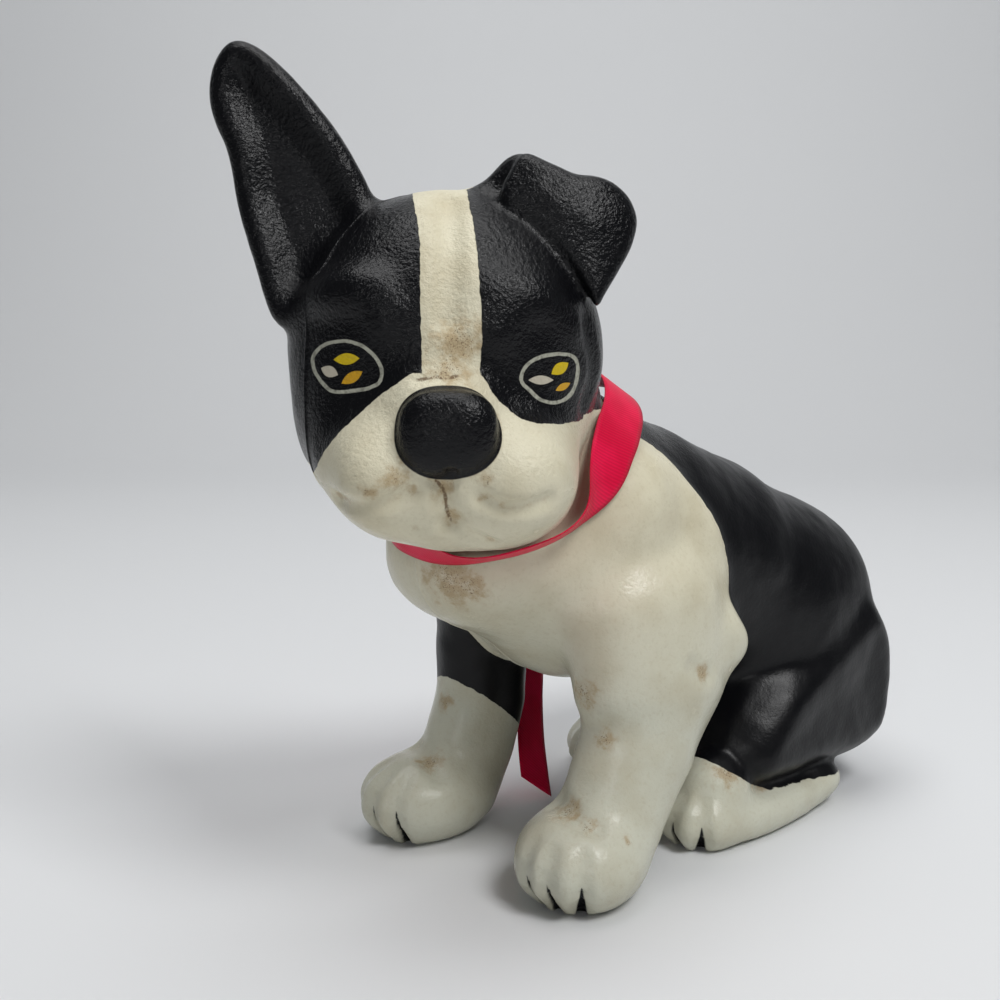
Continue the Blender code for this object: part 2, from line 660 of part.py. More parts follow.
def neck_band(skin, satin):
    band = band_shell("ribbon_neck_band", skin, 0, RIBBON_THICKNESS, RIBBON_WIDTH)
    band.data.materials.append(satin)
    return band


def knot_middle(skin):
    return ribbon_point(skin, KNOT_ANGLE, 0, RIBBON_THICKNESS + SEAT_GAP + KNOT_HALF_DEPTH - KNOT_SINK)


def knot_mass(skin, margin):
    turn = ribbon_frame().to_3x3().to_4x4() @ Matrix.Rotation(KNOT_ANGLE, 4, "Z")
    radii = (KNOT_HALF_DEPTH + margin, KNOT_HALF_WIDTH + margin, KNOT_HALF_HEIGHT + margin)
    return mass(knot_middle(skin), radii, turn)


def ribbon_knot(skin, satin):
    """The knot, on the hidden side of the neck, hollowed where it lies on the band."""
    knot = knot_mass(skin, 0)
    knot.name = "ribbon_knot"
    seat = band_shell("knot_seat", skin, -8 * MM, RIBBON_THICKNESS + 2 * SEAT_GAP, RIBBON_WIDTH + 2 * MM)
    boolean(knot, seat, "DIFFERENCE")
    knot.data.materials.append(satin)
    return knot


def over_skin(skin, y, z):
    """A point of a ribbon tail that lies on the puppy's right flank."""
    nearby = [surface_x(skin, y + dy, z + dz, -1) for dy in (-7 * MM, 0, 7 * MM) for dz in (-4 * MM, 0, 4 * MM)]
    return Vector((min(nearby) - TAIL_CLEARANCE - RIBBON_THICKNESS / 2, y, z))


def laid_route(skin, high, low, steps, bow):
    """The way of a tail over the flank, between two places in (y, z), bowed up by this much halfway."""
    route = []
    for k in range(steps + 1):
        y, z = high.lerp(low, k / steps)
        route.append(over_skin(skin, y, z + bow * math.sin(math.pi * k / steps)))
    return route


def strip(name, route, widths):
    """A length of ribbon along a route, its flat side towards the flank."""
    edit = bmesh.new()
    rings = []
    for i, point in enumerate(route):
        along = (route[min(i + 1, len(route) - 1)] - route[max(i - 1, 0)]).normalized()
        side = along.cross(Vector((1, 0, 0))).normalized()
        face = along.cross(side).normalized()
        half = widths[i] / 2
        thick = RIBBON_THICKNESS / 2
        corners = ((-half, -thick), (half, -thick), (half, thick), (-half, thick))
        rings.append([edit.verts.new(point + side * a + face * b) for a, b in corners])
    for lower, upper in zip(rings, rings[1:]):
        for k in range(4):
            n = (k + 1) % 4
            edit.faces.new((lower[k], lower[n], upper[n], upper[k]))
    edit.faces.new(rings[0])
    edit.faces.new(rings[-1])
    return object_of(name, edit)


def tail_from_knot(name, skin, route, satin):
    """A tail that starts inside the knot, gathered, and is trimmed where it comes out."""
    widths = [RIBBON_GATHERED] + [RIBBON_WIDTH] * (len(route) - 1)
    tail = strip(name, route, widths)
    boolean(tail, knot_mass(skin, SEAT_GAP), "DIFFERENCE")
    tail.data.materials.append(satin)
    return tail


def trim_at_floor(tail):
    """Cuts the long tail's end aslant, with its lower corner just clear of the floor."""
    boolean(tail, box("under_floor", (-0.3, -0.3, -0.1), (0.3, 0.3, SEAT_GAP)), "DIFFERENCE")
    slant = box("slant", (-0.1, -0.1, -0.1), (0.1, 0.02, 0))
    corner = Vector((LONG_TAIL_END.x, LONG_TAIL_END.y + RIBBON_WIDTH / 2, SEAT_GAP))
    slant.data.transform(Matrix.Translation(corner) @ Matrix.Rotation(LONG_TAIL_TRIM, 4, "X"))
    boolean(tail, slant, "DIFFERENCE")


def long_tail(skin, satin):
    """The long tail runs down the right flank and curls in under the belly, to the floor."""
    laid = laid_route(skin, LONG_TAIL_HIGH, LONG_TAIL_LOW, 4, -1 * MM)
    hanging = []
    for share in (0, 0.2, 0.4, 0.64, 0.87, 1.08):
        bow = Vector((0, -3 * MM * math.sin(math.pi * share), 0))
        hanging.append(LONG_TAIL_HANGS.lerp(LONG_TAIL_END, share) + bow)
    start = knot_middle(skin) - Vector((0, 0, TAIL_SPREAD))
    trim_at_floor(tail_from_knot("ribbon_long_tail", skin, [start] + laid + hanging, satin))


def short_tail(skin, satin):
    """The short tail lies back along the shoulder."""
    laid = laid_route(skin, SHORT_TAIL_HIGH, SHORT_TAIL_LOW, 3, 3 * MM)
    start = knot_middle(skin) + Vector((0, TAIL_SPREAD, 0))
    tail_from_knot("ribbon_short_tail", skin, [start] + laid, satin)


def centre_on_footprint():
    """Moves every piece alike, so that the origin is on the floor in the middle of the object's box."""
    corners = [Vector(corner) for obj in bpy.data.objects for corner in obj.bound_box]
    shift = Vector((0, 0, 0))
    for axis in (0, 1):
        values = [corner[axis] for corner in corners]
        shift[axis] = -(min(values) + max(values)) / 2
    for obj in bpy.data.objects:
        obj.data.transform(Matrix.Translation(shift))


def main():
    clear_scene()
    iron = material("painted_iron", (0.62, 0.59, 0.5), 0.4, 0)
    steel = material("dull_steel", (0.35, 0.34, 0.33), 0.45, 1)
    satin = material("red_satin", (0.55, 0.01, 0.04), 0.35, 0)
    skin, seat, tip = casting_halves(iron)
    assembly_screw(seat, tip, steel)
    neck_band(skin, satin)
    ribbon_knot(skin, satin)
    long_tail(skin, satin)
    short_tail(skin, satin)
    for obj in list(bpy.data.objects):
        if obj.hide_render:
            bpy.data.objects.remove(obj, do_unlink=True)
    centre_on_footprint()


main()
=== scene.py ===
"""Painted cast iron puppy doorstop: its enamelled casting, its screw and its red satin ribbon.

The figure is worked out in millimetres in its own frame: it faces -y, its left side is +x and z = 0 is
the floor. The head has its own axes: across to the viewer's right, back into the skull, and up.
A name with SEEN in it holds places in the 1000 x 1000 photograph, where a mark is laid on the skin that
the sight line through that place meets."""

import itertools
import math

import bmesh
import bpy
import numpy as np
import openvdb
from mathutils import Matrix, Vector, noise


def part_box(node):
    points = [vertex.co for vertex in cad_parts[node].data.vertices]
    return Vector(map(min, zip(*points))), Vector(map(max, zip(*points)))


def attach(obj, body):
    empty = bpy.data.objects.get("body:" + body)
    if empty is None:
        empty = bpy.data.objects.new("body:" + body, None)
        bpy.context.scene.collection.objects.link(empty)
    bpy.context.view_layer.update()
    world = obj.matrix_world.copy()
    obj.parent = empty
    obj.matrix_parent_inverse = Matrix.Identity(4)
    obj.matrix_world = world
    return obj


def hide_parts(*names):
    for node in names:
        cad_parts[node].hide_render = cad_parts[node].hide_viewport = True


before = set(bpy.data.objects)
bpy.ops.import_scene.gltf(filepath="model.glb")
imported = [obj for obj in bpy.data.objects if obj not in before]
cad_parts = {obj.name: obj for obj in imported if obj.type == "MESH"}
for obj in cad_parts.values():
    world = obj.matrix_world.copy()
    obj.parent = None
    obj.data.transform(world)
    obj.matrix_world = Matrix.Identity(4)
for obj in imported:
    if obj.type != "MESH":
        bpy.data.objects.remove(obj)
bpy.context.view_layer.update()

MM = 0.001
FAR = 12.0  # distances past this many mm aren't kept
GRAIN = 0.9  # spacing of the grid that the figure is shaped on
LIMB_JOINT = 1.5
PLATE_SPAN = (-40, 30)  # how far an ear can reach in front of the head's middle and behind it
SIGHT_REACH = 760
EDGE_ROOM = 0.05  # the joint's face and the sole stay flat to within this

# Camera, in the figure's frame
CAMERA_PLACE = np.array((289.4, -278.8, 180.0))
CAMERA_AZIMUTH = math.radians(46)
CAMERA_DROP = math.radians(8.7)
PHOTO_SIZE = 1000
FOCUS = 1300  # photo pixels
SENSOR = 36

# Casting
PARTING_X = -8
PARTING_GAP = 0.3
SOLE = 0
CAST_RIPPLES = ((15, 0.35), (5, 0.12))  # the width and height of its coarse and its fine unevenness
CAST_SHRINK = 0.3  # how far the skin is drawn in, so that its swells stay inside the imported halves

# How softly each form runs into what it joins
TRUNK_BLEND = 8
THIGH_BLEND = 4
LEG_BLEND = 6
SKULL_BLEND = 8
FACE_BLEND = 5
FOOT_BLEND = 3
EAR_BLENDS = (5, 6, 3)  # the upright ear, the folded one's stem and its flap
NOSE_BLEND = 1.4
TOE_BLEND = 2.5

# Head
HEAD_CENTRE = np.array((0.0, -23.0, 165.0))
HEAD_TURN = math.radians(46)
NOSE_CENTRE = (3.6, -50, -18.7)
NOSE_RADII = (13.4, 8.5, 11.6)
NOSE_SQUARENESS = 2.5

# Shoulders, legs and haunches
SHOULDER_STEP = 2.4
PAW_RADII = (19.5, 24, 13.5)
LEFT_PAW_CENTRE = (34.2, 2.2, 12.5)
LEFT_PAW_TURN = 31
RIGHT_PAW_CENTRE = (-34.5, 1, 12.5)
# The slits of each foot: the place over the floor that they run out from, their height and their turns
TOE_SLITS = [
    ((35.5, 1), 12, (-4, 17, 43)), ((-34.5, 1), 14, (-27, -3, 20)),
    ((36, 59), 9.5, (-42, -3, 42)), ((-36, 92), 9.5, (-42, -3, 42)),
]
TOE_SLIT_DEPTH = 1.9
TOE_SLIT_HALF = 1.5
TOE_SLIT_RUN = (-9, 4)  # from inside the skin to outside it
TOE_FURROW_RADIUS = 3.6
HIND_STANCE = 37.5
HIND_FOOT_RADII = (16, 42, 9)
THIGH_BEVEL = 14
THIGH_RISE = 14.6
HIND_FEET = ((1, 45), (-1, 78))  # the side of each, and how far back its toes start

# Stage, in metres
PAPER = (0.70, 0.71, 0.72)
WALL_START = 0.9
SWEEP = 0.6
FIGURE_MIDDLE = (0, 0, 0.12)
SKY = (0.80, 0.83, 0.88)
SKY_STRENGTH = 0.11

# Screw
SCREW_Y = 62
SCREW_Z = 92
SCREW_HEAD_HEIGHT = 2.6
SCREW_HEAD_ROOM = 5.5
SCREW_BORE = 2.9
SEAT_GAP = 0.3

# Ribbon
RIBBON_WIDTH = 15
RIBBON_ROWS = 9
RIBBON_CLOTH = 0.35
RIB_PITCH = 1.1
RIB_SLANT = 0.55
RIBBON_CLEARANCE = 0.9
RIBBON_CENTRE = (3, 0, 133.6)
RIBBON_SLOPE = 30
RIBBON_LEAN = 6.7
RIBBON_SLIP = 5  # how far it has slipped down below the jaw
JAW_ANGLE = math.radians(300)
NAPE_FOLD = (42, 97, 9)  # degrees round the neck: first, end and step
NAPE_FOLD_RADIUS = 5.5
NAPE_FOLD_SINK = 4
BRIDGE_TURNS = (-0.16, -0.08, 0, 0.08, 0.16)  # where the neck holds it out, in radians from each place
NAPE_LOOSENESS = 4
KNOT_ANGLE = math.radians(190)
KNOT_RADII = (5.5, 8.5, 7.5)
KNOT_LIFT = 5.8
KNOT_PLEATS = 9
KNOT_PLEAT_DEPTH = 0.05  # shares of the knot's radii
KNOT_WAIST = 0.16
# In (y, z) of the right flank, where each tail starts to lie on it and where it ends
LONG_TAIL_LAID = np.array(((8, 104), (63, 64)))
SHORT_TAIL_LAID = np.array(((27, 121), (56, 89)))
LONG_TAIL_HANGS = np.array((-51, 68, 53))
LONG_TAIL_END = np.array((-24, 43, 1.5))
LONG_TAIL_TRIM = math.radians(39)
TAIL_CLEARANCE = 1.4
TAIL_ROOT_WIDTH = 7

# Colours
CREAM = (0.66, 0.62, 0.47)
COOL_CREAM = (0.57, 0.57, 0.47)
WASH = (0.36, 0.29, 0.16)
# The next colour browns the creases, as dirt that gathers there and as painted shade
BROWN_DIRT_AND_SHADE = (0.34, 0.22, 0.09)
GRIME = (0.11, 0.055, 0.02)
BLACK = (0.0035, 0.0036, 0.0045)
YELLOW = (0.60, 0.44, 0.015)
ORANGE = (0.58, 0.32, 0.02)
PALE = (0.50, 0.46, 0.37)
RING = (0.40, 0.40, 0.33)
STEEL = (0.27, 0.26, 0.25)
SATIN = (0.68, 0.006, 0.048)
# The next colour is the satin as its sheen brightens it under light: a painted sheen
SATIN_SHEEN_COLOUR = (0.82, 0.010, 0.070)
RIB_SHADE = (0.32, 0.001, 0.012)
EDGE_SHADE = (0.36, 0.001, 0.015)

# Paint edges, as seen in the photograph
MUZZLE_SEEN = [
    (300, 486), (315, 470), (324, 452), (341, 431), (371, 403), (398, 383), (418, 373), (447, 379),
    (477, 373), (496, 397), (522, 419), (553, 424), (569, 423), (592, 416), (620, 400),
]
MUZZLE_BELOW_SEEN = [(760, 400), (760, 900), (100, 900), (100, 560)]  # round what lies below that edge
BLAZE_LEFT_SEEN = [(411, 150), (412, 190), (419, 234), (420, 286), (422, 369), (424, 400)]
BLAZE_RIGHT_SEEN = [(467, 150), (467, 190), (475, 234), (480, 286), (482, 326), (481, 357), (476, 400)]
LEFT_EYE_SEEN = [
    (314, 355), (325, 344.5), (344, 341), (360.5, 345), (373, 354.5), (381, 367), (380.5, 381),
    (369.5, 388), (354, 390.5), (336, 392), (325.5, 386.5), (316.5, 374.5), (313, 365),
]
RIGHT_EYE_SEEN = [
    (521, 377.5), (526, 366), (540, 357), (558.5, 354), (573, 356.5), (577.5, 365), (577, 378),
    (572.5, 392), (563.5, 400), (551.5, 402.5), (539, 399), (530, 390), (523, 384),
]
EYE_LINE = 3.6  # photo pixels, the painted ring's width
# Each leaf mark in the eyes: colour, middle, half length, half width, slope in degrees
LEAF_MARKS_SEEN = [
    (YELLOW, (346.5, 359), 13.5, 6.2, 3),
    (PALE, (329.5, 371.5), 9.5, 6, -22),
    (ORANGE, (352, 377.5), 12.5, 5.6, 30),
    (YELLOW, (560, 368.5), 10.5, 6, 34),
    (PALE, (541, 380), 13, 4.8, 0),
    (ORANGE, (563, 386.8), 8.5, 3.6, 28),
]
# Fine dark brown lines: along the crease below the nose, and between the blaze and the muzzle
DARK_LINES_SEEN = [
    [(433, 477), (439, 484), (444, 491), (446, 501), (447, 511), (451, 521)],
    [(416, 380), (425, 379), (435, 377), (447, 378.5), (457, 376)],
]
PHOTO_MM = 0.33  # one photo pixel at the face
NOT_NEAR = 99  # noted at points that a mark can't reach
# Furrows and ridges of the skin, each with its radius, its depth or height and its blend in millimetres
BLAZE_FURROW_SEEN = ([(447, 176), (449, 215), (449, 250), (448, 290), (447, 318)], 4.2, 2.2, 3)
BROW_RIDGES_SEEN = [
    ([(300, 306), (318, 292), (345, 288), (368, 298), (384, 316)], 6, 0.8, 5),
    ([(500, 330), (520, 312), (548, 308), (572, 322)], 6, 0.6, 5),
]
TEMPLE_FURROW_SEEN = ([(588, 325), (594, 350), (595, 375), (588, 400)], 4, 0.9, 3)
LIP_FURROWS_SEEN = [
    (DARK_LINES_SEEN[1], 1.4, 0.8, 1),
    ([(433, 474), (437, 485), (442, 498), (446, 511), (451, 520)], 3.2, 1.4, 2.5),
    (DARK_LINES_SEEN[0], 1.2, 0.9, 0.8),
]
MOUTH_FURROWS_SEEN = [
    ([(455, 525), (463, 533), (475, 540), (490, 545)], 2.6, 1.7, 2),
    ([(418, 531), (430, 529), (441, 526)], 2.6, 1.2, 2),
    ([(334, 500), (348, 507), (366, 508), (390, 503), (412, 492)], 2.6, 2.1, 2),
    ([(483, 500), (495, 506), (508, 510), (529, 509), (551, 502)], 2.6, 2.1, 2),
]
ANKLE_FOLDS_SEEN = [
    ([(414, 744), (428, 757), (438, 773)], 4, 1.6, 3),
    ([(556, 800), (566, 812), (579, 822), (594, 828)], 4, 1.5, 3),
    ([(696, 668), (702, 674), (710, 676)], 3, 1.2, 3),
]
NOSE_SLOT_SEEN = ([(451, 474), (451, 479), (450, 484)], 2.2, 1.2, 1)
# The jowl's low swell: its middle, radii, height and blend
JOWL_SEEN = ((650, 508), (19, 19, 19), 2.6, 6)
# Brown stains, each with its radius in millimetres; those at (582, 693) and (604, 740) are painted shade
BROWN_SPOTS_SEEN = [
    ((460, 340), 8), ((447, 368), 7), ((441, 486), 3.5), ((450, 512), 2.5), ((448, 578), 11),
    ((470, 588), 7), ((702, 674), 4), ((629, 842), 2), ((430, 762), 6), ((568, 810), 6), ((588, 828), 4),
    ((582, 693), 6), ((604, 740), 4), ((728, 772), 7), ((395, 478), 4), ((367, 494), 3),
    ((487, 480), 2.5), ((445, 700), 4),
]

# Paint edges in (y, z) on the flanks, from the top down
SHOULDER_LEFT = [
    (12, 170), (26, 144), (43, 132), (58, 110), (63, 92), (61.5, 79), (66.5, 72), (67.5, 65), (60, 54),
    (49, 39), (36, 20), (32, 0), (36, -20),
]
SHOULDER_RIGHT = [
    (-30, 170), (-22, 150), (-13, 136), (2, 121), (10, 106), (16, 92), (30, 70), (34, 40), (34, -20),
]
# How high the cream goes on the hind foot, from the toes back
FOOT_EDGE = [(-5, 34), (8, 32), (14, 29.5), (19, 25), (28, 19), (39, 14), (58, 13), (84, 11), (88, -4)]
# The cream's upper edge on the right foreleg falls towards its rear
LEG_CREAM_TOP = 51
LEG_CREAM_SLOPE = 0.83
# On the crown the blaze narrows to nothing this far behind the head's middle
CROWN_BLAZE_HALF = 9.4
CROWN_BLAZE_END = 34
JAW_EDGES = (-31, -17)  # how high the black starts behind the face, on the viewer's left and right
CREAM_THROAT = (-112, 72)  # degrees round the neck between which the skin over the band is cream
DEGREE_MM = 0.6  # one degree round the neck


def sight_axes():
    """The camera's right, up and back directions."""
    azimuth, drop = CAMERA_AZIMUTH, CAMERA_DROP
    level = math.cos(drop)
    back = np.array((math.sin(azimuth) * level, -math.cos(azimuth) * level, math.sin(drop)))
    right = np.array((math.cos(azimuth), math.sin(azimuth), 0.0))
    return right, np.cross(back, right), back


def seen_at(points):
    """Where each point shows in the photograph."""
    right, up, back = sight_axes()
    offset = points - CAMERA_PLACE
    depth = -(offset @ back)
    middle = PHOTO_SIZE / 2
    u = middle + FOCUS * (offset @ right) / depth
    v = middle - FOCUS * (offset @ up) / depth
    return np.stack([u, v], -1)


def sight_line(u, v):
    right, up, back = sight_axes()
    middle = PHOTO_SIZE / 2
    line = (u - middle) / FOCUS * right + (middle - v) / FOCUS * up - back
    return line / np.linalg.norm(line)


class Place:
    """A set of axes in the figure's frame."""

    def __init__(self, origin=(0, 0, 0), turn=np.eye(3)):
        self.origin = np.array(origin, float)
        self.turn = np.array(turn, float)

    def out(self, point):
        return self.origin + self.turn @ np.array(point, float)

    def local(self, points):
        return (points - self.origin) @ self.turn


def turned(x=0, y=0, z=0):
    """A rotation about x, then y, then z, in degrees."""
    total = Matrix.Identity(3)
    for angle, axis in ((z, "Z"), (y, "Y"), (x, "X")):
        total = total @ Matrix.Rotation(math.radians(angle), 3, axis)
    return np.array(total)


BODY = Place()
HEAD = Place(HEAD_CENTRE, turned(z=math.degrees(HEAD_TURN)))
NECK = Place(RIBBON_CENTRE, turned(x=RIBBON_SLOPE, y=RIBBON_LEAN))


def smooth_min(a, b, blend):
    """The lower of two distances, rounded over where they meet."""
    share = np.clip(0.5 + 0.5 * (b - a) / blend, 0, 1)
    return b + (a - b) * share - blend * share * (1 - share)


def line_gap(points, line):
    """How far each point lies from a line through places, in space or in the photograph."""
    best = np.full(points.shape[:-1], 1e9)
    for start, end in zip(line, line[1:]):
        run = end - start
        offset = points - start
        share = np.clip(offset @ run / max(run @ run, 1e-9), 0, 1)
        gap = offset - share[..., None] * run
        best = np.minimum(best, np.einsum("...i,...i->...", gap, gap))
    return np.sqrt(best)


def rounded_distance(offsets, radii):
    """Distance to an ellipsoid's skin, from offsets along its axes."""
    tiny = 1e-6
    near = tiny
    steep = tiny / 900
    for offset, radius in zip(offsets, radii):
        share = offset / radius
        near = near + share * share
        steep = steep + (share / radius) ** 2
    near, steep = np.sqrt(near), np.sqrt(steep)
    return near * (near - 1) / steep


class Mass:
    """An ellipsoid of clay, or a squarer form where squareness is over 2."""

    def __init__(self, centre, radii, turn=np.eye(3), place=BODY, squareness=2):
        self.centre = place.out(centre)
        self.turn = place.turn @ turn
        self.radii = radii
        self.squareness = squareness

    def box(self):
        reach = np.abs(self.turn) @ np.array(self.radii, float)
        return self.centre - reach, self.centre + reach

    def distance(self, points):
        local = (points - self.centre) @ self.turn
        power = self.squareness
        if power == 2:
            return rounded_distance([local[..., i] for i in range(3)], self.radii)
        shares = np.abs(local) / self.radii + 1e-4
        near = (shares**power).sum(-1) ** (1 / power)
        steep = np.sqrt((((shares / near[..., None]) ** (power - 1) / self.radii) ** 2).sum(-1))
        return (near - 1) / steep


class Limb:
    """A tapering limb with round ends, through stations of (centre, half width, half depth)."""

    def __init__(self, stations):
        self.stations = [(np.array(centre, float), wide, deep) for centre, wide, deep in stations]

    def box(self):
        centres = np.array([centre for centre, wide, deep in self.stations])
        reach = max(max(wide, deep) for centre, wide, deep in self.stations)
        return centres.min(0) - reach, centres.max(0) + reach

    def distance(self, points):
        total = None
        for (start, wide_a, deep_a), (end, wide_b, deep_b) in zip(self.stations, self.stations[1:]):
            length = np.linalg.norm(end - start)
            along = (end - start) / length
            deep_axis = np.cross(along, (1, 0, 0))
            deep_axis /= np.linalg.norm(deep_axis)
            wide_axis = np.cross(deep_axis, along)
            offset = points - start
            run = offset @ along
            share = np.clip(run / length, 0, 1)
            wide = wide_a + (wide_b - wide_a) * share
            deep = deep_a + (deep_b - deep_a) * share
            over = run - share * length
            offsets = (offset @ wide_axis, offset @ deep_axis, over)
            found = rounded_distance(offsets, (wide, deep, np.minimum(wide, deep)))
            total = found if total is None else smooth_min(total, found, LIMB_JOINT)
        return total


class Strand:
    """A round line of clay along points, to add as a ridge or to take away as a groove."""

    def __init__(self, points, radius):
        self.points = np.array(points, float)
        self.radius = radius

    def box(self):
        return self.points.min(0) - self.radius, self.points.max(0) + self.radius

    def distance(self, points):
        return line_gap(points, self.points) - self.radius


def smooth_line(points, closed=False, steps=5):
    """The points with a smooth curve run through them."""
    points = np.array(points, float)
    count = len(points)
    spans = count if closed else count - 1
    made = []
    for i in range(spans):
        near = [i + k if closed else min(max(i + k, 0), count - 1) for k in (-1, 0, 1, 2)]
        before, start, end, after = (points[k % count] for k in near)
        for k in range(steps):
            t = k / steps
            bend = 2 * start + (end - before) * t
            bend += (2 * before - 5 * start + 4 * end - after) * t**2
            bend += (3 * start - before - 3 * end + after) * t**3
            made.append(bend / 2)
    if not closed:
        made.append(points[-1])
    return np.array(made)


def outline_distance(outline, across, up):
    """Signed distance to a closed outline in a plane, negative inside."""
    best = np.full(across.shape, 1e12)
    inside = np.zeros(across.shape, bool)
    for (x0, z0), (x1, z1) in zip(outline, np.roll(outline, -1, axis=0)):
        run_x, run_z = x1 - x0, z1 - z0
        share = np.clip(((across - x0) * run_x + (up - z0) * run_z) / max(run_x**2 + run_z**2, 1e-9), 0, 1)
        gap = (across - x0 - share * run_x) ** 2 + (up - z0 - share * run_z) ** 2
        best = np.minimum(best, gap)
        crosses = (z0 <= up) != (z1 <= up)
        if run_z:
            inside ^= crosses & (across < x0 + (up - z0) * run_x / run_z)
    return np.where(inside, -1.0, 1.0) * np.sqrt(best)


class Plate:
    """A curved plate on the head: an outline in (across, up), its middle layer and its thickness by rule."""

    def __init__(self, outline, depth, thickness, edge):
        self.outline = smooth_line(outline, closed=True)
        self.depth = depth
        self.thickness = thickness
        self.edge = edge

    def box(self):
        low, high = self.outline.min(0), self.outline.max(0)
        spans = ((low[0], high[0]), PLATE_SPAN, (low[1], high[1]))
        corners = [HEAD.out(corner) for corner in itertools.product(*spans)]
        return np.min(corners, 0), np.max(corners, 0)

    def distance(self, points):
        local = HEAD.local(points)
        across, back, up = local[..., 0], local[..., 1], local[..., 2]
        rim = outline_distance(self.outline, across, up) + self.edge
        thick = self.thickness(across, up, rim)
        face = np.abs(back - self.depth(across, up, rim)) - thick / 2 + self.edge
        outer = np.hypot(np.maximum(rim, 0), np.maximum(face, 0))
        return np.minimum(np.maximum(rim, face), 0) + outer - self.edge


class Clay:
    """Distances to the figure's skin on a grid, in millimetres, negative inside."""

    def __init__(self, low, high):
        low, high = np.array(low, float), np.array(high, float)
        counts = np.ceil((high - low) / GRAIN).astype(int) + 1
        self.low = low
        self.axes = [low[i] + GRAIN * np.arange(counts[i]) for i in range(3)]
        self.field = np.full(counts, FAR, np.float32)

    def near(self, shape, margin):
        """The part of the grid round a shape, and its points."""
        low, high = shape.box()
        spans = []
        for axis, first, last in zip(self.axes, low - margin, high + margin):
            spans.append(slice(*np.searchsorted(axis, (first, last))))
        axes = [axis[span] for axis, span in zip(self.axes, spans)]
        return tuple(spans), np.stack(np.meshgrid(*axes, indexing="ij"), -1)

    def add(self, shape, blend):
        spans, points = self.near(shape, blend + 4)
        found = np.minimum(shape.distance(points), FAR)
        self.field[spans] = smooth_min(self.field[spans], found, blend)

    def add_all(self, shapes, blend):
        for shape in shapes:
            self.add(shape, blend)

    def cut(self, shape, blend):
        spans, points = self.near(shape, blend + 3)
        found = np.clip(shape.distance(points), -FAR, FAR)
        self.field[spans] = -smooth_min(-self.field[spans], found, blend)

    def carve(self, shape, depth):
        """Cuts a shape into the skin, to a depth below it."""
        spans, points = self.near(shape, 3)
        found = np.maximum(shape.distance(points), -self.field[spans] - depth)
        self.field[spans] = -smooth_min(-self.field[spans], found, 0.4)

    def soften(self, passes):
        """Evens out the joins, as a hand does on clay."""
        self.field = evened(self.field, passes)

    def at(self, points, field=None):
        """The distance at any points, read between the grid's own."""
        field = self.field if field is None else field
        index = (np.asarray(points) - self.low) / GRAIN
        top = np.array(field.shape) - 1.001
        index = np.clip(index, 0, top)
        cell = index.astype(int)
        share = index - cell
        total = 0
        for corner in np.ndindex(2, 2, 2):
            weight = np.ones(share.shape[:-1])
            for i in range(3):
                weight = weight * (share[..., i] if corner[i] else 1 - share[..., i])
            total = total + weight * field[tuple(np.moveaxis(cell + corner, -1, 0))]
        return total

    def slope(self, points):
        """The direction straight out of the skin."""
        steps = np.eye(3) * GRAIN
        out = np.stack([self.at(points + step) - self.at(points - step) for step in steps], -1)
        return out / np.maximum(np.linalg.norm(out, axis=-1, keepdims=True), 1e-9)

    def meet(self, start, line, reach, outwards=False):
        """Where a line first enters the clay, or leaves it when it starts inside."""
        start, line = np.array(start), np.array(line)
        steps = np.arange(0, reach, GRAIN / 2)
        found = self.at(start + steps[:, None] * line)
        crossed = np.nonzero(found > 0 if outwards else found < 0)[0]
        if not len(crossed):
            return None
        last = max(crossed[0], 1)
        before, after = found[last - 1], found[last]
        share = before / (before - after) if before != after else 0
        return start + (steps[last - 1] + share * GRAIN / 2) * line

    def seen(self, places):
        """The points of the skin that show at these places of the photograph."""
        found = [self.meet(CAMERA_PLACE, sight_line(u, v), SIGHT_REACH) for u, v in places]
        return np.array([point for point in found if point is not None])


def evened(field, passes):
    """A field averaged a little with its neighbours."""
    for axis in tuple(range(3)) * passes:
        field = (np.roll(field, 1, axis) + 2 * field + np.roll(field, -1, axis)) / 4
    return field


def chest_masses():
    return [
        Limb([((-3, 4, 113), 34, 31), ((0, 31, 88), 36, 32)]),
        Mass((-8, -1, 99), (29.5, 25.5, 22)),
        Limb([((-2, 27, 116), 34, 34), ((-4, 5, 136), 31, 31), ((-3, -10, 152), 31, 31)]),
    ]


def trunk_masses():
    """Barrel, back and rump."""
    return [
        Limb([((0, 26, 110), 37, 41), ((1, 56, 99), 40, 41), ((2, 90, 85), 42, 42), ((3, 114, 71), 45, 43)]),
        Mass((2.5, 127, 57), (47.5, 46.5, 51), squareness=2.4),
        Mass((4, 125, 30), (43, 42, 31)),
    ]


def foreleg_masses(side):
    """Leg, paw and elbow. The left leg carries the shoulder's weight, and its paw turns out."""
    if side > 0:
        upper = [((30, 34, 84), 20, 29), ((33.5, 34.5, 62), 18.5, 28)]
        lower = [((35, 27, 42), 15, 18.5), ((35, 16, 24), 14.5, 16)]
        paw_centre = LEFT_PAW_CENTRE
    else:
        upper = [((-30, 30, 84), 20, 24), ((-33.5, 26, 62), 14, 16)]
        lower = [((-34.5, 26.5, 42), 13, 16), ((-34.5, 18, 24), 13.5, 14.5)]
        paw_centre = RIGHT_PAW_CENTRE
    paw = Mass(paw_centre, PAW_RADII, turned(z=LEFT_PAW_TURN * (side > 0)), squareness=2.1)
    elbow = Mass((side * 41, 59.5, 72), (9, 8.5, 10))
    return [Limb(upper + lower), paw, elbow]


def hind_foot_masses(side, toe_y):
    """A flat sole with blunt toes, a high instep and a low heel."""
    return [
        Mass((side * HIND_STANCE, toe_y + HIND_FOOT_RADII[1], 6.5), HIND_FOOT_RADII, squareness=2.4),
        Mass((side * 36, toe_y + 14, 8.5), (15, 14.5, 11)),
        Mass((side * 36, toe_y + 21, 13), (13, 15, 17)),
        Mass((side * 41, toe_y + 71.5, 8.5), (11.5, 14, 8.5)),
    ]


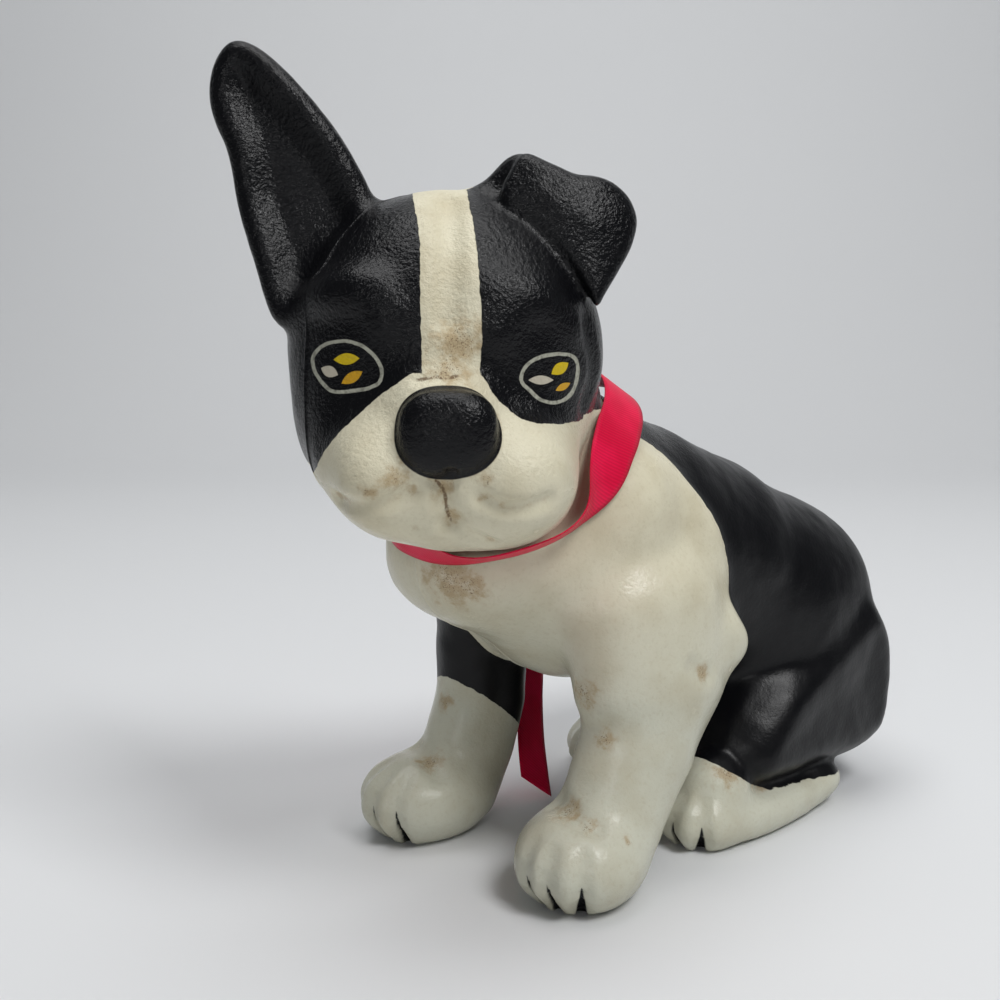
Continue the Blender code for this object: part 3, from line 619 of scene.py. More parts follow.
class Thigh:
    """The haunch's flat muscle, a pillow on the flank whose front edge is a crest."""

    def __init__(self, side, toe_y):
        knee = toe_y + 25
        outline = [(knee, 19), (knee - 1, 32), (knee + 15, 50), (knee + 35, 61), (128, 71), (146, 76)]
        outline += [(161, 62), (165, 40), (160, 18), (144, 10), (112, 11), (knee + 12, 12)]
        self.side = side
        self.outline = smooth_line(outline, closed=True)

    def box(self):
        low, high = self.outline.min(0), self.outline.max(0)
        inner, outer = sorted((self.side * 20, self.side * 58))
        return np.array((inner, *low)), np.array((outer, *high))

    def distance(self, points):
        rim = -outline_distance(self.outline, points[..., 1], points[..., 2])
        share = np.clip(rim / THIGH_BEVEL, 0, 1)
        face = 38 + THIGH_RISE * (1 - (1 - share) ** 2) - 0.1 * np.maximum(rim - THIGH_BEVEL, 0)
        return np.maximum(self.side * points[..., 0] - face, -rim) * 0.8


def skull_masses():
    """Skull, jaw and the two cheeks."""
    return [
        Mass((1, 0, 0), (46.5, 42, 47), place=HEAD),
        Mass((1, -24, -29.2), (36, 28, 22), place=HEAD),
        Mass((-22.5, -6, -17), (18.5, 27, 25), place=HEAD),
        Mass((18, -6, -17), (18.5, 27, 25), place=HEAD),
    ]


def face_masses():
    """Muzzle, chin, the two flews and the two brows."""
    return [
        Mass((1, -33, -15), (18, 19, 15), place=HEAD),
        Mass((3, -36, -40.5), (17, 12, 9), place=HEAD),
        Mass((-13.5, -31, -31.3), (14.8, 23, 17.8), turned(z=-12), HEAD),
        Mass((18, -31, -32), (17.5, 23, 17.8), turned(z=12), HEAD),
        Mass((-22, -29, 17), (13, 6, 7), turned(z=-30), HEAD),
        Mass((22, -29, 17), (13, 6, 7), turned(z=30), HEAD),
    ]


def upright_ear():
    """The ear on the puppy's right: pricked, hollow in front, with a thick rim."""
    outline = [(-46, 8), (-54, 27), (-59, 43), (-61.5, 57), (-66, 68), (-67, 77), (-64.5, 85), (-59.5, 89)]
    outline += [(-53, 87.5), (-45, 81), (-37, 73), (-30, 64), (-25, 56), (-20.5, 47), (-18, 36), (-28, 16)]

    def hollow(rim):
        share = np.clip(-rim / 9, 0, 1)
        return 4.5 * share * share * (3 - 2 * share)

    def thickness(across, up, rim):
        return 10 + np.clip((45 - up) / 30, 0, 1.2) * 6 - hollow(rim)

    def depth(across, up, rim):
        return -5 + 0.1 * (up - 30) + hollow(rim) / 2 + 0.006 * (across + 40) ** 2

    return Plate(outline, depth, thickness, 4)


def folded_ear():
    """The ear on the puppy's left: a short stem whose flap falls forward and outward."""
    stem = [(4, 30), (8, 44), (14, 51), (20, 56.5), (26, 56.5), (34, 51), (42, 42), (42, 24)]
    flap = [(17, 43), (19, 50.5), (23.5, 56.5), (30, 54.5), (38, 51), (46.5, 50), (53, 46), (56.3, 39)]
    flap += [(55, 31), (51, 23.5), (47, 17), (44, 13), (41, 18), (36, 26), (27, 35)]

    def stem_depth(across, up, rim):
        return 2 - 0.1 * (across - 10)

    def stem_thickness(across, up, rim):
        return 15 + 0 * across

    def flap_depth(across, up, rim):
        return -15 + 0.3 * (up - 35) + 0.012 * np.maximum(across - 30, 0) ** 2

    def flap_thickness(across, up, rim):
        return 7 + 2.5 * np.clip(-rim / 9, 0, 1)

    return [Plate(stem, stem_depth, stem_thickness, 5), Plate(flap, flap_depth, flap_thickness, 3.4)]


def strand_on(clay, places, radius, lift):
    """A strand along places of the photograph, its middle this far out of the skin."""
    skin = clay.seen(smooth_line(places))
    return Strand(skin + clay.slope(skin) * lift, radius)


def groove(clay, places, radius, depth, blend):
    clay.cut(strand_on(clay, places, radius, radius - depth), blend)


def ridge(clay, places, radius, height, blend):
    clay.add(strand_on(clay, places, radius, height - radius), blend)


def boss(clay, place, radii, height, blend):
    """A low swelling of the skin at a place of the photograph."""
    skin = clay.seen([place])
    out = clay.slope(skin)
    centre = skin[0] - out[0] * (min(radii) - height)
    clay.add(Mass(centre, radii, HEAD.turn), blend)


class ToeSlit:
    """An upright wedge between two toes, widest at the sole, cut in along a way over the floor."""

    def __init__(self, clay, middle, turn, top):
        angle = math.radians(turn)
        self.way = np.array((math.sin(angle), -math.cos(angle), 0))
        self.across = np.array((math.cos(angle), math.sin(angle), 0))
        self.middle = np.array((*middle, 0.0))
        self.top = top
        self.skin = float((self.skin_at(clay, 5) - self.middle) @ self.way)

    def skin_at(self, clay, height):
        """Where the way meets the foot's skin at a height."""
        return clay.meet(self.middle + (0, 0, height), self.way, 40, outwards=True)

    def box(self):
        ends = np.array([self.middle + self.way * (self.skin + run) for run in TOE_SLIT_RUN])
        return ends.min(0) - 2, ends.max(0) + (2, 2, self.top)

    def distance(self, points):
        offset = points - self.middle
        height = points[..., 2]
        half = TOE_SLIT_HALF * np.clip(1 - height / self.top, 0, 1)
        side = np.abs(offset @ self.across) - half
        run = offset @ self.way - self.skin
        ends = np.maximum(TOE_SLIT_RUN[0] - run, run - TOE_SLIT_RUN[1])
        return np.maximum(np.maximum(side, ends), height - self.top)

    def furrow(self, clay):
        """The soft hollow between two toes, which runs up over the top of the foot."""
        line, lifts = [], []
        for share, depth in ((0.2, 1.5), (0.6, 1.4), (1, 1.1), (1.4, 0.6), (1.8, 0.1)):
            met = self.skin_at(clay, self.top * share)
            if met is not None:
                line.append(met)
                lifts.append(TOE_FURROW_RADIUS - depth)
        line = np.array(line)
        return Strand(line + clay.slope(line) * np.array(lifts)[:, None], TOE_FURROW_RADIUS)


def shaped_figure():
    """The whole figure in clay."""
    clay = Clay((-72, -88, -6), (72, 178, 262))
    clay.add_all(chest_masses() + trunk_masses(), TRUNK_BLEND)
    for side, toe_y in HIND_FEET:
        clay.add(Thigh(side, toe_y), THIGH_BLEND)
        clay.add_all(foreleg_masses(side), LEG_BLEND)
    clay.add_all(skull_masses(), SKULL_BLEND)
    clay.add_all(face_masses(), FACE_BLEND)
    shoulders(clay)
    clay.soften(8)
    for side, toe_y in HIND_FEET:
        clay.add_all(hind_foot_masses(side, toe_y), FOOT_BLEND)
    skin_details(clay)
    for ear, blend in zip([upright_ear()] + folded_ear(), EAR_BLENDS):
        clay.add(ear, blend)
    clay.soften(1)
    clay.add(nose(), NOSE_BLEND)
    groove(clay, *NOSE_SLOT_SEEN)
    toes = [ToeSlit(clay, middle, turn, top) for middle, top, turns in TOE_SLITS for turn in turns]
    for furrow in [slit.furrow(clay) for slit in toes]:
        clay.cut(furrow, TOE_BLEND)
    for slit in toes:
        clay.carve(slit, TOE_SLIT_DEPTH)
    return clay, toes


def nose():
    return Mass(NOSE_CENTRE, NOSE_RADII, place=HEAD, squareness=NOSE_SQUARENESS)


def shoulders(clay):
    """Lifts the shoulders and chest proud of the flanks, with a soft step between."""
    x, y, z = clay.axes
    across, up = np.meshgrid(y, z, indexing="ij")
    for side, line in ((1, SHOULDER_LEFT), (-1, SHOULDER_RIGHT)):
        step = np.clip(0.5 - behind(line, across, up) / 5, 0, 1) * np.clip((150 - up) / 20, 0, 1)
        outer = np.clip((side * x - 14) / 16, 0, 1)
        lifted = SHOULDER_STEP * outer[:, None, None] * step[None, :, :]
        clay.field = (clay.field - lifted).astype(np.float32)


def skin_details(clay):
    """The small forms of the face, and the folds over the feet."""
    groove(clay, *BLAZE_FURROW_SEEN)
    for brow in BROW_RIDGES_SEEN:
        ridge(clay, *brow)
    for furrow in [TEMPLE_FURROW_SEEN] + LIP_FURROWS_SEEN + MOUTH_FURROWS_SEEN:
        groove(clay, *furrow)
    boss(clay, *JOWL_SEEN)
    for fold in ANKLE_FOLDS_SEEN:
        groove(clay, *fold)


def polygons_of(clay):
    """The skin as points and four-sided or three-sided faces, cut flat at the sole."""
    heights = clay.axes[2][None, None, :]
    grid = openvdb.FloatGrid(FAR)
    grid.copyFromArray(np.maximum(clay.field, (SOLE - heights).astype(np.float32)))
    points, triangles, quads = grid.convertToPolygons(0.0, 0.0)
    points = np.asarray(points, float) * GRAIN + clay.low
    a, b, c, d = (points[quads[:, i]] for i in range(4))
    volume = (a * (np.cross(b, c) + np.cross(c, d))).sum()
    order = 1 if volume > 0 else -1
    return points, [face[::order] for face in triangles.tolist() + quads.tolist()]


def figure_shift():
    """From the figure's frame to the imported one, in millimetres, read off the screw and the halves."""
    low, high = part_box("assembly_screw")
    left_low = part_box("casting_left_half")[0]
    shift_x = left_low.x / MM - (PARTING_X + PARTING_GAP / 2)
    shift_y = (low.y + high.y) / 2 / MM - SCREW_Y
    return np.array((shift_x, shift_y, 0.0))


SHIFT = figure_shift()


def linked(name, data):
    """A new object in the scene."""
    obj = bpy.data.objects.new(name, data)
    bpy.context.scene.collection.objects.link(obj)
    return obj


def placed(name, edit):
    """A mesh drawn in millimetres in the figure's frame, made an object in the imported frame."""
    for vert in edit.verts:
        vert.co = (vert.co + Vector(SHIFT)) * MM
    mesh = bpy.data.meshes.new(name)
    edit.to_mesh(mesh)
    edit.free()
    return linked(name, mesh)


def points_of(obj):
    """An object's points, in the figure's frame."""
    flat = np.empty(len(obj.data.vertices) * 3, np.float32)
    obj.data.vertices.foreach_get("co", flat)
    return flat.reshape(-1, 3).astype(float) / MM - SHIFT


def note(obj, name, values):
    """Keeps one number for each point of a mesh."""
    attribute = obj.data.attributes.new(name, "FLOAT", "POINT")
    attribute.data.foreach_set("value", np.asarray(values, np.float32))


def note_places(obj, name, values):
    attribute = obj.data.attributes.new(name, "FLOAT_VECTOR", "POINT")
    attribute.data.foreach_set("vector", np.asarray(values, np.float32).ravel())


def behind(line, y, z):
    """How far behind a line drawn on the flank, from the top down, each point lies."""
    line = smooth_line(line)
    outline = np.concatenate([line, [(400, -40), (400, 260), (line[0][0], 260)]])
    return -outline_distance(outline, y, z)


def face_black(points, local):
    """The head's black paint: positive inside it, in millimetres."""
    seen = seen_at(points)
    u, v = seen[:, 0], seen[:, 1]
    muzzle = np.concatenate([smooth_line(MUZZLE_SEEN), MUZZLE_BELOW_SEEN])
    blaze = np.concatenate([smooth_line(BLAZE_LEFT_SEEN), smooth_line(BLAZE_RIGHT_SEEN)[::-1]])
    front = np.minimum(outline_distance(muzzle, u, v), outline_distance(blaze, u, v)) * PHOTO_MM
    across, forward, up = local[:, 0], -local[:, 1], local[:, 2]
    taper = np.clip((forward + CROWN_BLAZE_END) / CROWN_BLAZE_END, 0, 1) ** 0.6
    stripe = np.where(up > 5, np.abs(across + 0.3) - CROWN_BLAZE_HALF * taper, 20)
    jaw = np.where(across > 0, JAW_EDGES[1], JAW_EDGES[0])
    back = np.minimum(stripe, up - jaw)
    return np.where(forward > 3 + 12 * (np.abs(across) > 22), front, back)


def black_paint(points, shapes):
    """Where the black enamel lies: positive inside it, negative on the cream, in millimetres."""
    local = HEAD.local(points)
    neck = NECK.local(points)
    head = face_black(points, local)
    angle = np.degrees(np.arctan2(neck[:, 1], neck[:, 0]))
    throat = np.minimum(angle - CREAM_THROAT[0], CREAM_THROAT[1] - angle) * DEGREE_MM
    on_head = shapes["head"] < shapes["chest"] + 1.5
    head_side = np.where(on_head, head, -throat)
    x, y, z = points.T
    body = np.where(x > 0, behind(SHOULDER_LEFT, y, z), behind(SHOULDER_RIGHT, y, z))
    leg_edge = LEG_CREAM_TOP - LEG_CREAM_SLOPE * (np.maximum(y, 6) - 10)
    patch = np.minimum(shapes["chest"] - shapes["right_leg"] - 0.5, z - leg_edge)
    body = np.where(x < -4, np.maximum(body, patch), body)
    body = np.where((x < -4) & (shapes["right_leg"] < 2.5) & (z < leg_edge), z - leg_edge, body)
    for side, toe_y in HIND_FEET:
        foot_top = np.interp(y - toe_y, *np.array(FOOT_EDGE).T)
        foot = np.maximum(z - foot_top, 9 - side * x)
        body = np.where((side * x > 4) & (y > toe_y - 3) & (z < 34), np.minimum(body, foot), body)
    return np.where(neck[:, 2] > slipped(np.radians(angle)), head_side, body)


def spots(points, clay, places):
    """Soft round patches round places of the photograph, each with its radius in millimetres."""
    total = np.zeros(len(points))
    for place, radius in places:
        for middle in clay.seen([place]):
            gap = np.linalg.norm(points - middle, axis=1) / radius
            total = np.maximum(total, np.exp(-gap * gap))
    return total


def paint_casting(obj, clay, blurred, shapes):
    """Notes on each point of the skin which paint, mark, dirt or painted shade lies there, for the enamel's
    shader.
    """
    points = points_of(obj)
    near = {}
    for name, masses in shapes.items():
        near[name] = np.min([mass.distance(points) for mass in masses], axis=0)
    note(obj, "black", black_paint(points, near))
    seen = seen_at(points)
    in_front = -HEAD.local(points)[:, 1] > 10
    eyes = [smooth_line(eye, closed=True) for eye in (LEFT_EYE_SEEN, RIGHT_EYE_SEEN)]
    rings = np.min([outline_distance(eye, *seen.T) for eye in eyes], axis=0)
    note(obj, "eye_ring", np.where(in_front, rings, NOT_NEAR))
    dark_lines = np.min([line_gap(seen, smooth_line(line)) for line in DARK_LINES_SEEN], axis=0)
    note(obj, "dark_line", np.where(in_front, dark_lines, NOT_NEAR))
    note_places(obj, "photo_place", np.column_stack([seen, np.zeros(len(seen))]))
    note(obj, "nose", -near["nose"])
    note(obj, "toe_gap", -near["toes"])
    # How deep in a crease each point lies: there the enamel is browned, as dirt and as painted shade
    note(obj, "crease", clay.at(points) - clay.at(points, blurred))
    # Soft brown spots: stains, and two spots of painted shade on the left foreleg
    note(obj, "brown_spots", spots(points, clay, BROWN_SPOTS_SEEN))


def casting_halves(clay, toes, enamel):
    """The figure's skin parted into its two halves, each closed at the joint."""
    points, faces = polygons_of(clay)
    whole = bpy.data.meshes.new("whole")
    whole.from_pydata(points.tolist(), [], faces)
    blurred = evened(clay.field, 6)
    shapes = {
        "chest": chest_masses() + trunk_masses(),
        "right_leg": foreleg_masses(-1),
        "head": skull_masses() + face_masses() + [upright_ear()] + folded_ear(),
        "nose": [nose()],
        "toes": toes,
    }
    for name, side in (("casting_left", 1), ("casting_right", -1)):
        edit = bmesh.new()
        edit.from_mesh(whole)
        cut = bisected(edit, (PARTING_X, 0, 0), (side, 0, 0))
        rim = [item for item in cut["geom_cut"] if isinstance(item, bmesh.types.BMEdge)]
        caps = bmesh.ops.edgeloop_fill(edit, edges=rim)["faces"]
        bmesh.ops.triangulate(edit, faces=caps)
        for face in edit.faces:
            face.smooth = True
        free = [vert for vert in edit.verts if off_flats(*vert.co)]
        every_way = {"use_axis_x": True, "use_axis_y": True, "use_axis_z": True}
        for _ in range(2):
            bmesh.ops.smooth_vert(edit, verts=free, factor=0.5, **every_way)
        for edge in edit.edges:
            edge.smooth = any(abs(vert.co.x - PARTING_X) >= 1e-4 for vert in edge.verts)
        half = placed(name, edit)
        lay_grain(half, clay)
        paint_casting(half, clay, blurred, shapes)
        half.data.materials.append(enamel)
        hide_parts(name + "_half")
        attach(half, "root")
    bpy.data.meshes.remove(whole)


def bisected(edit, place, way):
    """Cuts away the part of a mesh that lies behind a plane."""
    parts = edit.verts[:] + edit.edges[:] + edit.faces[:]
    return bmesh.ops.bisect_plane(edit, geom=parts, plane_co=place, plane_no=way, clear_inner=True)


def off_flats(x, y, z):
    """Whether a point is clear of the joint's face and of the sole."""
    return (abs(x - PARTING_X) > EDGE_ROOM) & (z > SOLE + EDGE_ROOM)


def lay_grain(obj, clay):
    """The slight unevenness of sand casting, pushed into the mesh itself."""
    points = points_of(obj)
    free = off_flats(*points.T)
    for _ in range(2):
        out = clay.slope(points)
        points -= out * (np.clip(clay.at(points), -0.3, 0.3) * free)[:, None]
    swell = []
    for place in map(Vector, points):
        swell.append(sum(noise.noise(place / width) * height for width, height in CAST_RIPPLES))
    points = points + out * ((np.array(swell) - CAST_SHRINK) * free)[:, None]
    points[:, 2] = np.maximum(points[:, 2], SOLE)
    obj.data.vertices.foreach_set("co", ((points + SHIFT) * MM).astype(np.float32).ravel())
    obj.data.update()


# Shader building


class Wire:
    """A value in a shader's node tree. Sums and products of wires are made as Math nodes."""

    def __init__(self, tree, socket):
        self.tree = tree
        self.socket = socket

    def math(self, operation, *values):
        return add(self.tree, "Math", enumerate(values), operation=operation)[0]

    def __add__(self, other):
        return self.math("ADD", self, other)

    def __sub__(self, other):
        return self.math("SUBTRACT", self, other)

    def __rsub__(self, other):
        return self.math("SUBTRACT", other, self)

    def __mul__(self, other):
        return self.math("MULTIPLY", self, other)

    def __truediv__(self, other):
        return self.math("DIVIDE", self, other)

    def __rtruediv__(self, other):
        return self.math("DIVIDE", other, self)

    def __abs__(self):
        return self.math("ABSOLUTE", self)

    __radd__ = __add__
    __rmul__ = __mul__

    def highest(self, other):
        return self.math("MAXIMUM", self, other)

    def ramp(self, low, high, start=0, end=1):
        """A smooth step of this value from low to high."""
        inputs = {"Value": self, "From Min": low, "From Max": high, "To Min": start, "To Max": end}
        return add(self.tree, "MapRange", inputs, interpolation_type="SMOOTHSTEP")["Result"]

    def mix(self, first, second):
        """The first colour turned into the second by this share."""
        return add(self.tree, "Mix", {0: self, 6: first, 7: second}, data_type="RGBA")[2]


def outputs_of(tree, node):
    """A node's outputs as wires, by number and by name."""
    wires = {}
    for index, socket in enumerate(node.outputs):
        wires[index] = Wire(tree, socket)
        wires.setdefault(socket.name, wires[index])
    return wires


def feed(tree, socket, value):
    """Sets a socket to a value, or links a wire to it."""
    if isinstance(value, Wire):
        tree.links.new(value.socket, socket)
    elif socket.type == "RGBA":
        socket.default_value = (*value, 1)
    else:
        socket.default_value = value


def add(tree, kind, inputs=(), **settings):
    """A new shader node, whose outputs come back as wires."""
    made = tree.nodes.new("ShaderNode" + kind)
    for key, value in settings.items():
        setattr(made, key, value)
    for key, value in dict(inputs).items():
        feed(tree, made.inputs[key], value)
    return outputs_of(tree, made)


def new_material(name):
    made = bpy.data.materials.new(name)
    made.use_nodes = True
    made.node_tree.nodes.clear()
    return made, made.node_tree


def surface(tree, inputs):
    """The one shader that a material ends in."""
    shader = add(tree, "BsdfPrincipled", inputs)
    add(tree, "OutputMaterial", {"Surface": shader[0]})


def speckle(tree, place, scale, detail=2, roughness=0.5):
    inputs = {"Vector": place, "Scale": scale, "Detail": detail, "Roughness": roughness}
    return add(tree, "TexNoise", inputs)[0]


def noted(tree, name, output="Fac"):
    return add(tree, "Attribute", attribute_name=name)[output]


def bumped(tree, height, strength, depth):
    """The normal of a skin that rises by a height, in units of this depth."""
    return add(tree, "Bump", {"Strength": strength, "Distance": depth, "Height": height})[0]


def object_place(tree):
    """The object's own coordinates in millimetres."""
    place = add(tree, "TexCoord")["Object"]
    return add(tree, "VectorMath", {0: place, "Scale": 1 / MM}, operation="SCALE")[0]


def group(name, numbers, outputs):
    """A new node group that takes a place and some numbers: it, its inputs as wires, and its outputs."""
    made = bpy.data.node_groups.new(name, "ShaderNodeTree")
    made.interface.new_socket("Place", in_out="INPUT", socket_type="NodeSocketVector")
    for socket, value in numbers.items():
        item = made.interface.new_socket(socket, in_out="INPUT", socket_type="NodeSocketFloat")
        item.default_value = value
    for socket in outputs:
        made.interface.new_socket(socket, in_out="OUTPUT", socket_type="NodeSocketFloat")
    given = outputs_of(made, made.nodes.new("NodeGroupInput"))
    return made, given, made.nodes.new("NodeGroupOutput").inputs


def place_group(tree, made, inputs):
    node = tree.nodes.new("ShaderNodeGroup")
    node.node_tree = made
    for key, value in inputs.items():
        feed(tree, node.inputs[key], value)
    return outputs_of(tree, node)


def leaf_group():
    """A painted leaf mark: 1 inside it."""
    numbers = {"Middle X": 0, "Middle Y": 0, "Half Length": 10, "Half Width": 5, "Slope": 0}
    made, given, result = group("Leaf mark", numbers, ["Mask"])
    parts = add(made, "SeparateXYZ", {0: given["Place"]})
    over = parts[0] - given["Middle X"]
    down = parts[1] - given["Middle Y"]
    slope = given["Slope"]
    cosine, sine = slope.math("COSINE", slope), slope.math("SINE", slope)
    along = (over * cosine - down * sine) / given["Half Length"]
    wide = (over * sine + down * cosine) / given["Half Width"]
    inside = 1 - along * along - abs(wide)
    feed(made, result["Mask"], inside.ramp(0, 0.14))
    return made


def cast_grain_group():
    """Sand-cast pebbling under paint: a height, and how deep in a pit a point lies."""
    made, given, result = group("Cast grain", {"Pebble Size": 1.6, "Fine Size": 0.5}, ["Height", "Pits"])
    coarse = speckle(made, given["Place"], 0.6 / given["Pebble Size"], 2, 0.55)
    fine = speckle(made, given["Place"], 0.6 / given["Fine Size"], 2, 0.6)
    height = coarse * 0.75 + fine * 0.25
    feed(made, result["Height"], height)
    feed(made, result["Pits"], height.ramp(0.5, 0.32))
    return made


def stain_and_shade_group():
    """A brown wash with dark specks in it where a mask says: dirt and corrosion, and painted shade where the
    mask follows creases.
    """
    made, given, result = group("Stain and shade", {"Where": 0, "Speck Size": 1}, ["Wash", "Specks"])
    where = given["Where"]
    soft = speckle(made, given["Place"], 0.3 / given["Speck Size"], 4, 0.65)
    crisp = speckle(made, given["Place"], 2.6 / given["Speck Size"], 3, 0.65)
    spread = where * 0.6 + (soft - 0.5) * 1.9
    feed(made, result["Wash"], spread.ramp(0.12, 0.75) * where.ramp(0.02, 0.4))
    feed(made, result["Specks"], (where * 0.3 + crisp - 0.84).ramp(0, 0.06))
    return made


def painted_iron(groups):
    """Cream and black gloss enamel, brushed by hand over the raw casting."""
    made, tree = new_material("painted_iron")
    place = object_place(tree)
    grain = place_group(tree, groups["grain"], {"Place": place, "Pebble Size": 0.8, "Fine Size": 0.28})
    wobble = (speckle(tree, place, 0.35, 3) - 0.5) * 1.3
    black = (noted(tree, "black") + wobble).ramp(-0.12, 0.12)
    nose = noted(tree, "nose").ramp(-0.75, -0.45)
    toes = noted(tree, "toe_gap").ramp(-0.5, -0.1)
    dark = black.highest(nose).highest(toes)

    height = add(tree, "SeparateXYZ", {0: place})[2]
    cream = height.ramp(120, 40).mix(CREAM, COOL_CREAM)
    patches = speckle(tree, place, 0.06, 3).ramp(0.35, 0.75)
    cream = (patches * 0.3).mix(cream, WASH)
    cream = (grain["Pits"] * 0.13).mix(cream, WASH)
    # Painted shade and dirt: the cream is washed brown and specked more deeply in the creases
    crease = noted(tree, "crease").ramp(0.04, 0.5)
    # The brown spots are stains, and two of them are painted shade on the left foreleg
    where = (crease * 0.8).highest(noted(tree, "brown_spots"))
    stain_and_shade = place_group(tree, groups["stain_and_shade"], {"Place": place, "Where": where, "Speck Size": 1.3})
    cream = (stain_and_shade["Wash"] * 0.62).mix(cream, BROWN_DIRT_AND_SHADE)
    cream = (stain_and_shade["Specks"] * 0.7).mix(cream, GRIME)
    # A fine dark brown line along two creases of the face
    dark_line = (noted(tree, "dark_line") + wobble * 2.5).ramp(2.2, 0.6)
    cream = (dark_line * 0.8).mix(cream, GRIME)
    colour = dark.mix(cream, BLACK)

    ring_gap = abs(noted(tree, "eye_ring") + wobble * 1.4)
    ring = ring_gap.ramp(EYE_LINE / 2 + 0.4, EYE_LINE / 2 - 0.4)
    thin_paint = speckle(tree, place, 0.7).ramp(0.3, 0.55, 0.55, 0.95)
    colour = (ring * thin_paint).mix(colour, RING)
    in_eye = noted(tree, "eye_ring").ramp(1, -1)
    photo_place = noted(tree, "photo_place", "Vector")
    for paint, (middle_x, middle_y), half_length, half_width, slope in LEAF_MARKS_SEEN:
        inputs = {"Place": photo_place, "Middle X": middle_x, "Middle Y": middle_y}
        inputs |= {"Half Length": half_length, "Half Width": half_width, "Slope": math.radians(slope)}
        leaf = place_group(tree, groups["leaf"], inputs)["Mask"]
        colour = (leaf * in_eye).mix(colour, paint)

    face = height.ramp(126, 142)
    rough = 0.13 + speckle(tree, place, 0.12, 3) * 0.2
    rough += face * (1 - dark) * 0.22
    rough += stain_and_shade["Wash"] * 0.25
    rough += dark * (1 - face) * 0.12
    # Heights in millimetres: the head is rougher than the body, and its black shows it most
    relief = dark.ramp(0, 1, 0.2, 0.12) + face * dark.ramp(0, 1, 0.3, 0.44)
    bump = bumped(tree, grain["Height"] * relief + dark.highest(ring) * 0.11, 1, MM)
    surface(tree, {"Base Color": colour, "Roughness": rough, "Normal": bump, "Specular IOR Level": 0.22})
    return made


def dull_steel(groups):
    made, tree = new_material("dull_steel")
    place = object_place(tree)
    grain = place_group(tree, groups["grain"], {"Place": place, "Pebble Size": 0.6, "Fine Size": 0.2})
    stain_and_shade = place_group(tree, groups["stain_and_shade"], {"Place": place, "Where": 0.7, "Speck Size": 0.8})
    brown_spots = stain_and_shade["Specks"]
    bump = bumped(tree, grain["Height"], 0.4, MM)
    looks = {"Base Color": brown_spots.mix(STEEL, GRIME), "Roughness": 0.35 + brown_spots * 0.35, "Metallic": 1 - brown_spots}
    surface(tree, looks | {"Normal": bump})
    return made


def red_satin():
    """Satin ribbon with fine slanting ribs and a firm woven edge."""
    made, tree = new_material("red_satin")
    lay = add(tree, "SeparateXYZ", {0: noted(tree, "cloth_place", "Vector")})
    turn = (lay[0] + lay[1] * RIB_SLANT) * (2 * math.pi / RIB_PITCH)
    rib = turn.math("SINE", turn)
    edge = abs(lay[1]).ramp(RIBBON_WIDTH / 2 - 0.9, RIBBON_WIDTH / 2 - 0.3)
    cloud = speckle(tree, object_place(tree), 0.08)
    # Painted sheen: in random patches the satin takes the brighter colour that its sheen gives it under
    # light
    colour = cloud.ramp(0.35, 0.7).mix(SATIN, SATIN_SHEEN_COLOUR)
    colour = rib.ramp(1, -1, 0, 0.3).mix(colour, RIB_SHADE)
    colour = (edge * 0.3).mix(colour, EDGE_SHADE)
    bump = bumped(tree, rib * 0.5 + edge * 0.6, 0.35, MM * 0.12)
    looks = {"Base Color": colour, "Roughness": 0.40 + cloud * 0.12, "Normal": bump}
    looks |= {"Specular IOR Level": 0.3, "Specular Tint": (1, 0.25, 0.4)}
    looks |= {"Sheen Weight": 0.08, "Sheen Roughness": 0.35, "Sheen Tint": (1, 0.1, 0.25)}
    surface(tree, looks)
    return made


# Ribbon


def strip_object(name, middles, sides, widths, satin):
    """A length of ribbon: its middle line, the way across it, and its width at each place."""
    edit = bmesh.new()
    rings = []
    places = []
    run = 0.0
    for i, middle in enumerate(middles):
        if i:
            run += float(np.linalg.norm(middle - middles[i - 1]))
        ring = []
        for share in np.linspace(-1, 1, RIBBON_ROWS):
            ring.append(edit.verts.new(Vector(middle + sides[i] * (share * widths[i] / 2))))
            places.append((run, share * RIBBON_WIDTH / 2, 0))
        rings.append(ring)
    for first, second in zip(rings, rings[1:]):
        for r in range(RIBBON_ROWS - 1):
            edit.faces.new((first[r], first[r + 1], second[r + 1], second[r])).smooth = True
    obj = placed(name, edit)
    note_places(obj, "cloth_place", places)
    obj.data.materials.append(satin)
    thick = obj.modifiers.new("Cloth", "SOLIDIFY")
    thick.thickness = RIBBON_CLOTH * MM
    thick.offset = 0
    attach(obj, "root")
    return obj, run


def looseness(angle):
    """How far the ribbon stands off the neck: it hangs loose at the nape."""
    return NAPE_LOOSENESS * max(0.0, math.sin(angle)) ** 4


def slipped(angle):
    """How far the ribbon stands below its plane, out of the crease under the jaw."""
    share = np.clip((np.cos(angle - JAW_ANGLE) + 0.1) / 0.8, 0, 1)
    return -RIBBON_SLIP * share * share * (3 - 2 * share)


def neck_point(clay, angle, height, lift=0.0):
    """A point on the ribbon, which bridges the hollows of the neck under it."""
    height = height + float(slipped(angle))
    start = NECK.out((0, 0, height))
    reaches = []
    for turn in BRIDGE_TURNS:
        way = NECK.turn @ np.array((math.cos(angle + turn), math.sin(angle + turn), 0))
        met = clay.meet(start, way, 75, outwards=True)
        reaches.append(np.linalg.norm(met - start))
    radius = max(reaches) + RIBBON_CLEARANCE + looseness(angle) + lift
    return NECK.out((radius * math.cos(angle), radius * math.sin(angle), height))


